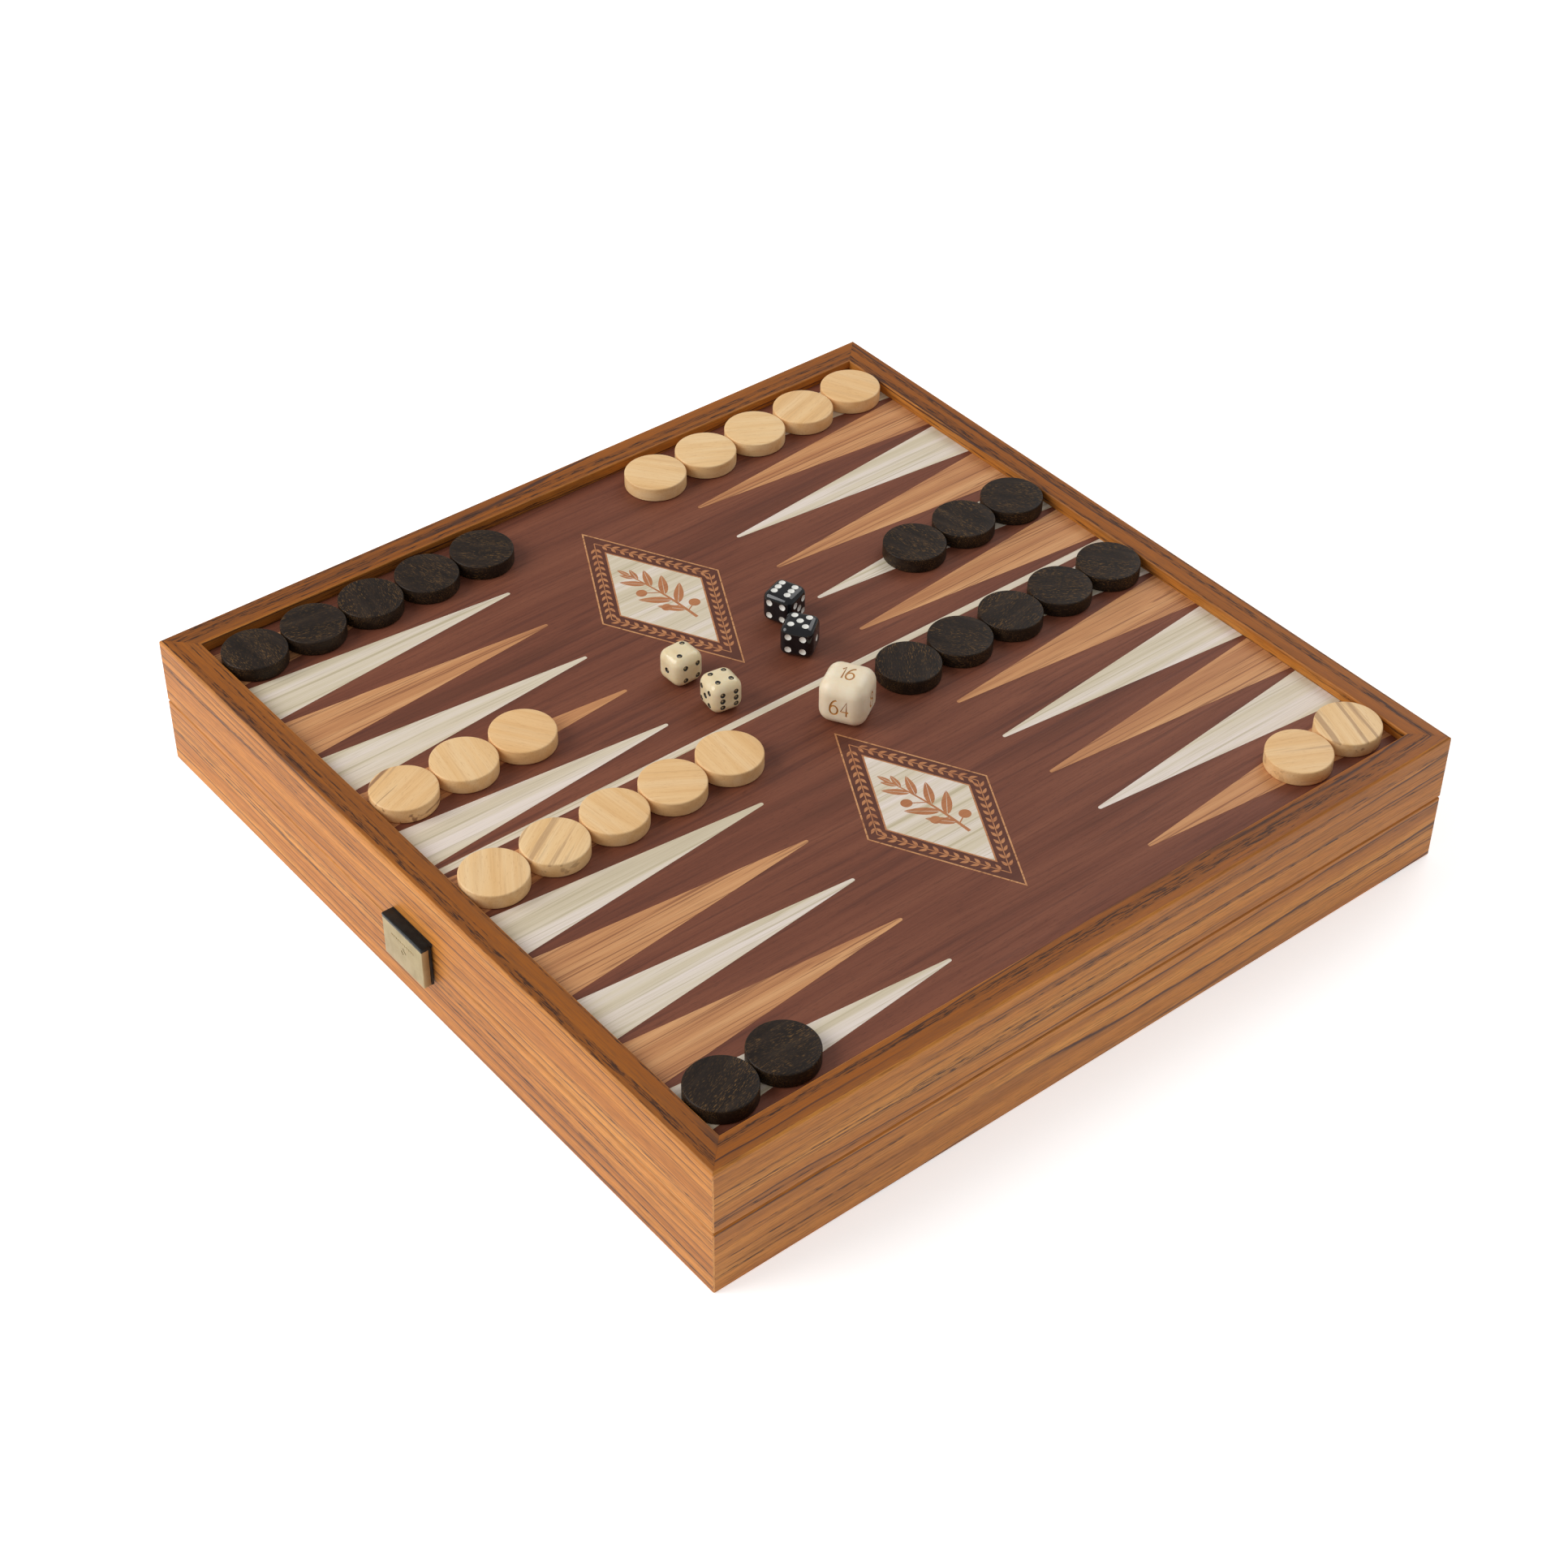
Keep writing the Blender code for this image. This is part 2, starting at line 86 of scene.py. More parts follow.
# How far the wood of each rail is turned about its own grain
GRAIN_TURNS = {"front": -38.0, "right": 22.0, "back": 0.0, "left": -30.0}
TOP_MARGIN = 0.00005  # points of a rail this close to the top belong to its top face

# Board inlays
POINTS_PER_HALF = 6
CENTRE_LINE_WIDTH = 0.0029
POINT_GAP = 0.0021
SIDE_MARGIN = 0.0044
POINT_PITCH = (INNER_HALF - CENTRE_LINE_WIDTH / 2 - SIDE_MARGIN) / POINTS_PER_HALF
ARTWORK_SHIFT = -0.0014  # of all the inlays along X: they aren't quite in the middle of the board
POINT_TIP_Y = 0.0419
POINT_TIP_WIDTH = 0.0014
INLAY_DEPTH = 0.0002
INLAY_STEP = 0.00004  # between one layer of inlay and the next
TIP_STEPS = 6
INLAY_LOW = BOARD_TOP - INLAY_DEPTH
INLAY_TOP = BOARD_TOP + INLAY_STEP
LAYER_STEP = INLAY_STEP / 64  # between leaves that cross, so that they don't flicker

# Medallions: rhombi across the middle of each half, with a leaf border and a sprig of their own design.
MEDALLION_Y = -0.0012
MEDALLION_HALF_LENGTH = 0.0478
MEDALLION_HALF_WIDTH = 0.0256
OUTLINE_WIDTH = 0.00055
BORDER_WIDTH = 0.0061
INNER_OUTLINE_WIDTH = 0.00055
BORDER_LEAF_PAIRS = 12
BORDER_LEAF_LENGTH = 0.0030
BORDER_LEAF_WIDTH = 0.00115
BORDER_LEAF_GAP = 0.00035  # from the middle of the stem to the foot of a leaf
BORDER_LEAF_ANGLE = 30.0
BORDER_STEM_WIDTH = 0.00035
LEAF_STEPS = 7
BERRY_SEGMENTS = 24
LEAF_POWER = 0.8  # below 1, a leaf is widest nearer its foot
VEIN_WIDTH = 0.00022
VEIN_FOOT = 0.04  # where a leaf's vein begins and ends, as shares of its length
VEIN_TIP = 0.97
TWIG_LENGTH = 0.034
TWIG_FOOT = 0.0030  # of the stem's foot from the medallion's long axis
TWIG_RISE = -0.0045
TWIG_BEND = 0.0009
TWIG_STEPS = 16
TWIG_FOOT_WIDTH = 0.0012
TWIG_TIP_WIDTH = 0.0004
TWIG_LEAF_RATIO = 0.27  # width of a leaf to its length
STALK_WIDTH = 0.00045
BORDER_FIGURE = 0.55  # how far the border's leaves and the twig are deepened
TWIG_FIGURE = 0.75

# Leaves of the twig: share of the stem, side, length and angle from the stem.
TWIG_LEAVES = (
    (0.16, -1, 0.0110, 38.0),
    (0.30, 1, 0.0125, 44.0),
    (0.38, -1, 0.0125, 46.0),
    (0.50, 1, 0.0120, 38.0),
    (0.70, 1, 0.0105, 32.0),
    (0.76, -1, 0.0100, 34.0),
    (0.88, 1, 0.0070, 22.0),
    (0.92, -1, 0.0060, 22.0),
    (0.99, 1, 0.0058, -4.0),
)

# Berries of the twig: share of the stem, shift along X and along Y from there, and radius.
TWIG_BERRIES = (
    (0.14, -0.0025, 0.0046, 0.0021),
    (0.26, -0.0020, -0.0046, 0.0019),
    (0.56, -0.0038, -0.0056, 0.0020),
)

# Playing pieces
PIECE_LEVEL = BOARD_TOP + 2 * INLAY_STEP
CHECKER_ROUND = 0.00055
CHECKER_SEGMENTS = 96
CHECKER_STREAKS = {"light_01": 0.9, "light_05": 0.45, "light_14": 0.6, "light_15": 0.35}
PLAIN_STREAKS = 0.08  # of every other checker
DIE_STEPS = 8
DIE_TURNS = {"die_black_1": 20.0, "die_black_2": 35.3, "die_ivory_1": 1.0, "die_ivory_2": -8.2}
CUBE_TURN = 31.0
CUBE_ROUND = 0.0047
CUBE_STEPS = 10
CUBE_SLOTS = ("bone_plastic", "cube_ink")
CUBE_NUMBERS = {"top": "16", "front": "64", "right": "8", "back": "2", "left": "32", "bottom": "4"}
FLAT_MARGIN = 0.01  # inside each face of a die or cube, as a share of its edge
PIP_OFFSET = 0.00265
PIP_DEPTH = 0.00042
PIP_SEGMENTS = 28
PIP_RINGS = 6
PIP_RISE = 0.00003  # by which a pip's cutter stands out of its face
NUMBER_HEIGHT = 0.0059
NUMBER_STROKE = 0.00037
NUMBER_RISE = 0.35  # share of a stroke's radius that its middle lies above the face
NUMBER_SQUEEZE = 0.78  # of a digit's width
NUMBER_GAP = 0.18  # between two digits, in digit heights

# Kinds of dice: slots of the body, its pips and their spots; rounding; radius of a pip and of its spot
DICE = {
    "black": (("black_plastic", "pip_white", "pip_white"), 0.0028, 0.00125, 0.0),
    "ivory": (("ivory_plastic", "pip_black", "pip_amber"), 0.0035, 0.00108, 0.00042),
}

# Pull tab
STRAP_EDGE = 0.0001
STRAP_LIP = 0.75  # radius of the strap's front lip, as a share of half its thickness
PLATE_BACK_GAP = 0.00002
PLATE_TOP_GAP = 0.00004
PLATE_ROUND = 0.00025
RELIEF = 0.00012
LOZENGE_HALF = 0.0017
LOZENGE_HOLE = 0.6  # share of the lozenge that is open
PLATE_DOTS = 11
DOT_PITCH = 0.0012
DOT_HALF = 0.0003
DOT_HEIGHT = 0.0036  # above the middle of the plate

# Hinge screws
LEAF_THICKNESS = 0.0008
SCREW_RADIUS = 0.00122
SCREW_SPACING = 0.016
SCREW_EDGE = 0.0035
SCREW_SINK = 0.0001
SCREW_DEPTH = 0.0008
SCREW_DOME = 0.00018
SCREW_SLOT = 0.00038
SCREW_STEPS = 18
SLOT_TOP = -0.00035
SLOT_FLOOR = -0.0007

# Studio
FLOOR_HALF = 30.0
FLOOR_DROP = 0.0001  # below the box's foot
FLOOR_GLOW = 0.52  # keeps the white floor free of grey shadows
SKY_STRENGTH = 0.40

# Lights: place, size and power
LIGHTS = {"key": ((-0.8, -1.6, 1.2), 1.6, 30.0), "back": ((-0.2, 1.3, 1.2), 1.2, 8.0)}

rng = random.Random(12)
MM = 1000.0
SPECULAR = "Specular IOR Level"
SQUARE = ((-1, -1), (1, -1), (1, 1), (-1, 1))


# Shader building


class Shader:
    """A material whose nodes are added from the texture towards the surface, reading noise at its place."""

    def __init__(self, name, settings):
        self.material = bpy.data.materials.new(name)
        self.material.use_nodes = True
        self.tree = self.material.node_tree
        self.surface = self.tree.nodes["Principled BSDF"]
        for socket, value in settings.items():
            self.surface.inputs[socket].default_value = value
        self.place = None

    def node(self, kind, inputs, **settings):
        node = self.tree.nodes.new(kind)
        for name, value in settings.items():
            setattr(node, name, value)
        for socket, value in inputs.items():
            if isinstance(value, bpy.types.NodeSocket):
                self.tree.links.new(value, node.inputs[socket])
            else:
                node.inputs[socket].default_value = value
        return node

    def grain(self):
        """Place in the wood: X along the grain, in metres, as stored on each piece."""
        return self.node("ShaderNodeAttribute", {}, attribute_name="grain").outputs["Vector"]

    def figure(self):
        """How strongly a piece is streaked, as stored on it."""
        return self.node("ShaderNodeAttribute", {}, attribute_name="figure").outputs["Fac"]

    def on_object(self):
        return self.node("ShaderNodeTexCoord", {}).outputs["Object"]

    def turned(self):
        """Place with X and Y exchanged, for a CAD panel whose grain runs along Y."""
        split = self.node("ShaderNodeSeparateXYZ", {"Vector": self.on_object()})
        joined = {"X": split.outputs["Y"], "Y": split.outputs["X"], "Z": split.outputs["Z"]}
        return self.node("ShaderNodeCombineXYZ", joined).outputs["Vector"]

    def wander(self, place, size, amount):
        """Reads noise at a place that a slow noise shifts across the grain, so that streaks bend."""
        self.place = place
        centred = self.vector("SUBTRACT", self.noise(size, 1, 0.5, "Color"), (0.5, 0.5, 0.5))
        scaled = self.vector("MULTIPLY", centred, (0, amount / MM, amount / MM))
        self.place = self.vector("ADD", place, scaled)

    def vector(self, operation, first, second):
        inputs = {0: first, 1: second}
        return self.node("ShaderNodeVectorMath", inputs, operation=operation).outputs["Vector"]

    def math(self, operation, first, second=0.5):
        return self.node("ShaderNodeMath", {0: first, 1: second}, operation=operation).outputs["Value"]

    def times(self, first, second):
        return self.math("MULTIPLY", first, second)

    def noise(self, size, detail=2.0, rough=0.5, output="Fac"):
        """Noise whose features measure size, in millimetres along X, Y and Z: the last one given repeats."""
        lengths = (*size, size[-1], size[-1])[:3]
        scaled = self.vector("MULTIPLY", self.place, tuple(MM / length for length in lengths))
        inputs = {"Vector": scaled, "Scale": 1, "Detail": detail, "Roughness": rough}
        return self.node("ShaderNodeTexNoise", inputs).outputs[output]

    def growth(self, spacing, tilt, drift, ripple):
        """Growth lines: 0 to 1 across each ring, then a sharp edge. Sizes are in millimetres."""
        split = self.node("ShaderNodeSeparateXYZ", {"Vector": self.place})
        angle = radians(tilt)
        across = self.times(split.outputs["Y"], MM * cos(angle) / spacing)
        deep = self.times(split.outputs["Z"], MM * sin(angle) / spacing)
        drift_size, drift_amount = drift
        ripple_size, ripple_amount = ripple
        slow = self.times(self.noise(drift_size, 1), drift_amount / spacing)
        quick = self.times(self.noise(ripple_size, 4, 0.55), ripple_amount / spacing)
        flat = self.math("ADD", across, deep)
        return self.math("FRACT", self.math("ADD", self.math("ADD", flat, slow), quick))

    def range(self, value, low, high, to_low=0.0, to_high=1.0):
        inputs = {"Value": value, "From Min": low, "From Max": high, "To Min": to_low, "To Max": to_high}
        return self.node("ShaderNodeMapRange", inputs).outputs["Result"]

    def ramp(self, value, *stops):
        """Colours by a value: each stop is its position, red, green and blue."""
        node = self.node("ShaderNodeValToRGB", {"Fac": value})
        elements = node.color_ramp.elements
        while len(elements) < len(stops):
            elements.new(1)
        for element, (position, *colour) in zip(elements, stops):
            element.position = position
            element.color = (*colour, 1)
        return node.outputs["Color"]

    def mix(self, share, first, second):
        node = self.node("ShaderNodeMix", {}, data_type="RGBA")
        for socket, value in ((node.inputs[0], share), (node.inputs[6], first), (node.inputs[7], second)):
            if isinstance(value, bpy.types.NodeSocket):
                self.tree.links.new(value, socket)
            else:
                socket.default_value = (*value, 1)
        return node.outputs[2]

    def stain(self, below, value, low, high, amount, colour):
        """Lays a colour over what is below, from nothing where value is low to an amount where it is high."""
        return self.mix(self.range(value, low, high, 0, amount), below, colour)

    def worn(self, value, smoothest, roughest):
        """Roughness that follows a noise."""
        return self.range(value, 0.3, 0.7, smoothest, roughest)

    def finish(self, colour, roughness, height, bump, depth):
        relief = self.node("ShaderNodeBump", {"Height": height, "Strength": bump, "Distance": depth})
        sockets = {"Base Color": colour, "Roughness": roughness, "Normal": relief.outputs["Normal"]}
        for name, value in sockets.items():
            self.tree.links.new(value, self.surface.inputs[name])
        return self.material


def frame_wood():
    """Lacquered walnut-grained laminate: thin dark growth lines, and narrow rows of broken pores.

    The figure attribute marks the top of the frame, which is richer in pores and painted darker and deeper in
    colour as shade.
    """
    wood = Shader("frame_wood", {SPECULAR: 0.26, "Coat Weight": 0.04, "Coat Roughness": 0.30})
    wood.place = wood.grain()
    top = wood.figure()
    fine = wood.noise((22, 0.6), 3, 0.65)
    patch = wood.noise((220, 4.5), 2, 0.6)
    dash = wood.noise((6.5, 0.48), 2, 0.7)
    row = wood.noise((260, 1.9), 2, 0.5)
    base = wood.ramp(
        wood.noise((180, 8), 3, 0.55),
        (0.3, 0.42, 0.14, 0.018),
        (0.45, 0.51, 0.18, 0.026),
        (0.58, 0.6, 0.228, 0.036),
        (0.72, 0.68, 0.285, 0.054),
    )
    # Painted shade: the top of the frame is made darker and deeper in colour, as it gets less light than the
    # sides.
    deep = wood.mix(wood.times(top, 0.75), base, (0.3, 0.078, 0.004))
    ring = wood.growth(3.9, 50, ((260, 26), 13), ((45, 5), 1.9))
    core = wood.range(ring, 0.82, 0.92)
    shade = wood.range(ring, 0.25, 0.9, 0, 0.26)
    edge = wood.times(wood.math("MAXIMUM", core, shade), wood.range(ring, 1, 0.965))
    line = wood.times(edge, wood.range(patch, 0.38, 0.54, 0.15, 1))
    streaked = wood.mix(line, deep, (0.07, 0.027, 0.017))
    specked = wood.stain(streaked, dash, 0.48, 0.62, 0.3, (0.15, 0.055, 0.018))
    lined = wood.stain(specked, fine, 0.5, 0.68, 0.5, (0.185, 0.068, 0.02))
    crowded = wood.times(wood.range(row, 0.5, 0.56), top)
    near_row = wood.math("MAXIMUM", wood.range(row, 0.6, 0.66), crowded)
    stained = wood.mix(wood.times(near_row, 0.4), lined, (0.13, 0.043, 0.012))
    pore = wood.times(wood.range(dash, 0.5, 0.57), near_row)
    pored = wood.mix(wood.times(pore, 0.85), stained, (0.035, 0.014, 0.008))
    height = wood.math("SUBTRACT", wood.times(fine, 0.4), pore)
    return wood.finish(pored, wood.worn(fine, 0.42, 0.56), height, 0.3, 0.00006)


def frame_edge():
    """The frame's corner chamfers: the same grained wood, painted brighter and more orange than its faces as
    a highlight.
    """
    wood = Shader("frame_edge", {"Coat Weight": 0.1})
    wood.wander(wood.grain(), (150, 16), 6)
    streak = wood.noise((90, 1.5), 3, 0.6)
    # Painted highlight: lighter, more orange colours than the frame wood's.
    colour = wood.ramp(
        streak, (0.3, 0.42, 0.15, 0.03), (0.5, 0.6, 0.245, 0.055), (0.72, 0.72, 0.34, 0.095)
    )
    return wood.finish(colour, wood.worn(streak, 0.42, 0.55), streak, 0.15, 0.00005)


def board_veneer():
    """Reddish brown veneer with fine darker streaks along Y, deeper in the medallions' bands."""
    wood = Shader("board_veneer", {SPECULAR: 0.35})
    wood.wander(wood.turned(), (120, 20), 6)
    line = wood.noise((40, 0.7), 3, 0.65)
    pore = wood.noise((3, 0.3), 2, 0.6)
    base = wood.ramp(
        wood.noise((160, 7), 3, 0.55),
        (0.28, 0.138, 0.04, 0.019),
        (0.45, 0.182, 0.053, 0.026),
        (0.62, 0.215, 0.067, 0.033),
        (0.78, 0.245, 0.08, 0.04),
    )
    streaked = wood.stain(base, wood.noise((90, 2.2), 3, 0.6), 0.54, 0.68, 0.55, (0.095, 0.026, 0.015))
    lined = wood.stain(streaked, line, 0.5, 0.72, 0.4, (0.088, 0.024, 0.013))
    pored = wood.stain(lined, pore, 0.58, 0.68, 0.35, (0.06, 0.018, 0.01))
    banded = wood.mix(wood.times(wood.figure(), 0.6), pored, (0.078, 0.022, 0.013))
    return wood.finish(banded, wood.worn(line, 0.5, 0.62), pore, 0.1, 0.00004)


def tray_veneer():
    """Plain matt veneer of the tray's floor and of the box's underside."""
    wood = Shader("tray_veneer", {SPECULAR: 0.3})
    wood.wander(wood.on_object(), (120, 20), 10)
    tone = wood.noise((200, 8), 3, 0.55)
    line = wood.noise((80, 0.9), 3, 0.65)
    base = wood.ramp(
        tone, (0.3, 0.3, 0.155, 0.075), (0.5, 0.42, 0.24, 0.125), (0.72, 0.5, 0.31, 0.17)
    )
    lined = wood.stain(base, line, 0.5, 0.75, 0.4, (0.2, 0.095, 0.045))
    return wood.finish(lined, wood.worn(line, 0.55, 0.68), line, 0.1, 0.00004)


def inlay_cream():
    """Pale veneer with crisp olive streaks and whiter bands."""
    wood = Shader("inlay_cream", {SPECULAR: 0.35})
    wood.wander(wood.grain(), (120, 14), 3.5)
    streak = wood.noise((160, 1.1), 3, 0.6)
    fine = wood.noise((24, 0.4), 2, 0.6)
    base = wood.ramp(
        wood.noise((260, 4.2), 2, 0.5),
        (0.3, 0.67, 0.575, 0.41),
        (0.45, 0.745, 0.645, 0.49),
        (0.55, 0.795, 0.695, 0.58),
        (0.68, 0.85, 0.745, 0.665),
    )
    streaked = wood.stain(base, streak, 0.56, 0.64, 0.5, (0.44, 0.37, 0.205))
    lined = wood.stain(streaked, fine, 0.5, 0.68, 0.25, (0.42, 0.33, 0.21))
    return wood.finish(lined, wood.worn(fine, 0.45, 0.58), fine, 0.08, 0.00004)


def inlay_tan():
    """Orange-brown veneer with crisp darker streaks; its figure attribute deepens the medallions' artwork."""
    wood = Shader("inlay_tan", {SPECULAR: 0.35})
    wood.wander(wood.grain(), (120, 14), 3.5)
    band = wood.noise((260, 5), 2, 0.5)
    streak = wood.noise((180, 0.9), 2, 0.6)
    fine = wood.noise((18, 0.38), 2, 0.6)
    base = wood.ramp(
        band, (0.3, 0.48, 0.2, 0.08), (0.5, 0.62, 0.29, 0.118), (0.7, 0.72, 0.375, 0.165)
    )
    streaked = wood.stain(base, streak, 0.57, 0.62, 0.7, (0.25, 0.09, 0.038))
    lined = wood.stain(streaked, fine, 0.5, 0.68, 0.35, (0.25, 0.092, 0.038))
    deepened = wood.mix(wood.figure(), lined, (0.45, 0.16, 0.062))
    return wood.finish(deepened, wood.worn(fine, 0.45, 0.58), fine, 0.08, 0.00004)


def light_wood():
    """Beech: fine lines and short flecks, with a few brown streaks on some pieces."""
    wood = Shader("light_wood", {SPECULAR: 0.4})
    wood.wander(wood.grain(), (40, 12), 3)
    tone = wood.noise((60, 4), 2, 0.5)
    line = wood.noise((50, 0.6), 3, 0.6)
    fleck = wood.noise((3, 0.32), 2, 0.6)
    streak = wood.noise((60, 2.8), 2, 0.55)
    piece = wood.noise((400,), 1, 0.5)
    base = wood.ramp(
        tone, (0.3, 0.83, 0.52, 0.23), (0.5, 0.9, 0.605, 0.3), (0.7, 0.93, 0.67, 0.37)
    )
    warmed = wood.stain(base, piece, 0.35, 0.65, 0.55, (0.84, 0.48, 0.195))
    lined = wood.stain(warmed, line, 0.5, 0.64, 0.2, (0.62, 0.3, 0.105))
    flecked = wood.stain(lined, fleck, 0.6, 0.68, 0.3, (0.52, 0.25, 0.09))
    strong = wood.times(wood.range(streak, 0.57, 0.65), wood.figure())
    figured = wood.mix(strong, flecked, (0.33, 0.165, 0.08))
    return wood.finish(figured, wood.worn(fleck, 0.38, 0.5), fleck, 0.1, 0.00004)


def dark_wood():
    """Near-black stained wood, with fine golden flecks in its pores and a worn bloom."""
    wood = Shader("dark_wood", {SPECULAR: 0.20})
    wood.wander(wood.grain(), (30, 10), 5)
    tone = wood.noise((30, 3.5), 3, 0.6)
    fleck = wood.noise((1.7, 0.28), 2, 0.65)
    patch = wood.noise((18, 6), 2, 0.5)
    base = wood.ramp(
        tone, (0.3, 0.01, 0.006, 0.004), (0.55, 0.02, 0.012, 0.008), (0.75, 0.038, 0.024, 0.015)
    )
    gold = wood.times(wood.range(fleck, 0.55, 0.64), wood.range(patch, 0.36, 0.6, 0.2, 1))
    flecked = wood.mix(wood.times(gold, 0.65), base, (0.23, 0.12, 0.038))
    return wood.finish(flecked, wood.worn(fleck, 0.42, 0.58), fleck, 0.35, 0.00006)


def moulded(name, colour, warm, roughness, subsurface=0.0):
    """Glossy cast plastic with a faint cloudy variation."""
    settings = {
        SPECULAR: 0.5,
        "Subsurface Weight": subsurface,
        "Subsurface Radius": (1, 0.6, 0.35),
        "Subsurface Scale": 0.0012,
    }
    shader = Shader(name, settings)
    shader.place = shader.on_object()
    scuff = shader.noise((0.7,), 3, 0.6)
    tinted = shader.ramp(shader.noise((6,), 3, 0.6), (0.3, *warm), (0.65, *colour))
    return shader.finish(tinted, shader.range(scuff, 0.35, 0.7, *roughness), scuff, 0.04, 0.00003)


def strap_leather():
    """Smooth black leather with a fine pebble grain."""
    pebble = MM / 0.35
    shader = Shader("strap_leather", {SPECULAR: 0.24})
    shader.place = shader.on_object()
    scaled = shader.vector("MULTIPLY", shader.place, (pebble, pebble, pebble))
    cells = shader.node("ShaderNodeTexVoronoi", {"Vector": scaled, "Scale": 1.0}).outputs["Distance"]
    colour = shader.ramp(shader.noise((3,)), (0.3, 0.006, 0.008, 0.009), (0.7, 0.016, 0.021, 0.022))
    return shader.finish(colour, shader.range(cells, 0, 0.8, 0.4, 0.28), cells, 0.25, 0.00004)


def brushed(name, colour, worn, roughness, stretch):
    """Metal with fine brushing along one direction: stretch is the size of its scratches in millimetres."""
    shader = Shader(name, {"Metallic": 1.0})
    shader.place = shader.on_object()
    scratch = shader.noise(stretch, 3, 0.7)
    tinted = shader.ramp(shader.noise((5,)), (0.3, *worn), (0.62, *colour))
    return shader.finish(tinted, shader.worn(scratch, *roughness), scratch, 0.12, 0.00002)


# Plastics and metals: colour, second colour, roughness, then how translucent it is or its scratches' size
PLASTICS = {
    "ivory_plastic": ((0.87, 0.74, 0.5), (0.8, 0.64, 0.37), (0.12, 0.22), 0.15),
    "black_plastic": ((0.01, 0.01, 0.012), (0.006, 0.006, 0.007), (0.06, 0.14)),
    "bone_plastic": ((0.93, 0.81, 0.61), (0.88, 0.72, 0.5), (0.28, 0.42), 0.15),
    "pip_white": ((0.88, 0.87, 0.82), (0.78, 0.77, 0.7), (0.35, 0.5)),
    "pip_black": ((0.012, 0.011, 0.01), (0.022, 0.018, 0.014), (0.2, 0.35)),
    "pip_amber": ((0.46, 0.38, 0.22), (0.2, 0.15, 0.08), (0.25, 0.4)),
    "cube_ink": ((0.58, 0.26, 0.055), (0.48, 0.205, 0.042), (0.35, 0.5)),
}
METALS = {
    "plate_gold": ((0.465, 0.385, 0.23), (0.4, 0.325, 0.185), (0.42, 0.56), (0.25, 0.25, 4)),
    "hinge_brass": ((0.8, 0.58, 0.26), (0.62, 0.42, 0.17), (0.24, 0.4), (5, 0.15)),
    "screw_brass": ((0.76, 0.55, 0.25), (0.58, 0.4, 0.17), (0.2, 0.34), (0.3,)),
    "pin_steel": ((0.56, 0.56, 0.57), (0.42, 0.42, 0.43), (0.22, 0.36), (0.2, 2)),
}
NATURAL = (frame_wood, frame_edge, board_veneer, tray_veneer, inlay_cream, inlay_tan, light_wood, dark_wood)

MATERIALS = {make.__name__: make() for make in (*NATURAL, strap_leather)}
MATERIALS.update({name: moulded(name, *values) for name, values in PLASTICS.items()})
MATERIALS.update({name: brushed(name, *values) for name, values in METALS.items()})


# Mesh building


def add_object(name, data):
    made = bpy.data.objects.new(name, data)
    bpy.context.scene.collection.objects.link(made)
    return made


def new_object(name, shape, *slots):
    """The object of a bmesh, with one material for each slot named."""
    bmesh.ops.recalc_face_normals(shape, faces=shape.faces[:])
    mesh = bpy.data.meshes.new(name)
    shape.to_mesh(mesh)
    shape.free()
    for slot in slots:
        mesh.materials.append(MATERIALS[slot])
    return add_object(name, mesh)


def evaluated_mesh(source):
    graph = bpy.context.evaluated_depsgraph_get()
    return bpy.data.meshes.new_from_object(source.evaluated_get(graph))


def smooth(piece, angle=30.0):
    piece.data.shade_smooth()
    piece.data.set_sharp_from_angle(angle=radians(angle))


def attach(piece, body, slot, *replaced):
    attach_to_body(piece, body)
    if replaced:
        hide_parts(*replaced)
    return piece


def add_piece(name, shape, body, slot, *replaced):
    """A piece of one material that rides with a body."""
    return attach(new_object(name, shape, slot), body, slot, *replaced)


def new_shape():
    """An empty bmesh whose points can hold their place in the wood and how strongly it is streaked."""
    shape = bmesh.new()
    shape.verts.layers.float_vector.new("grain")
    shape.verts.layers.float.new("figure")
    return shape


def random_offset():
    """A far-off place in the wood, so that no two pieces show the same grain."""
    return Vector([rng.uniform(-3.0, 3.0) for _ in range(3)])


def set_grain(shape, verts, turn, offset):
    layer = shape.verts.layers.float_vector["grain"]
    for vert in verts:
        vert[layer] = turn @ vert.co + offset


def set_figure(shape, verts, value):
    layer = shape.verts.layers.float["figure"]
    for vert in verts:
        vert[layer] = value


def arc(centre, radius, start, end, steps):
    angles = [radians(start + (end - start) * step / steps) for step in range(steps + 1)]
    return [(centre[0] + radius * cos(a), centre[1] + radius * sin(a)) for a in angles]


def circle(centre, radius, segments):
    return arc(centre, radius, 0, 360 - 360 / segments, segments - 1)


def bridge(shape, first, second, material=0):
    """A band of faces between two closed rings of vertices."""
    faces = []
    for index in range(len(first)):
        following = (index + 1) % len(first)
        faces.append(shape.faces.new((first[index], first[following], second[following], second[index])))
        faces[-1].material_index = material
    return faces


def loft(shape, rings):
    """A solid through rings of vertices, closed at both ends; gives the bands of faces between them."""
    bands = [bridge(shape, first, second) for first, second in zip(rings, rings[1:])]
    shape.faces.new(rings[0])
    shape.faces.new(rings[-1])
    return bands


def add_plate(shape, outline, low, high):
    """A flat solid between two heights, from its outline in XY; gives its vertices."""
    bottom = [shape.verts.new((x, y, low)) for x, y in outline]
    top = [shape.verts.new((x, y, high)) for x, y in outline]
    shape.faces.new(top)
    shape.faces.new(bottom[::-1])
    bridge(shape, bottom, top)
    return bottom + top


def add_ring(shape, outer, inner, low, high):
    """A flat solid between an outer and an inner outline with as many corners; gives its vertices."""
    rings = [
        [shape.verts.new((x, y, height)) for x, y in outline]
        for outline, height in ((outer, low), (outer, high), (inner, high), (inner, low))
    ]
    for first, second in zip(rings, rings[1:] + rings[:1]):
        bridge(shape, first, second)
    return [vert for ring in rings for vert in ring]


# Frame rails


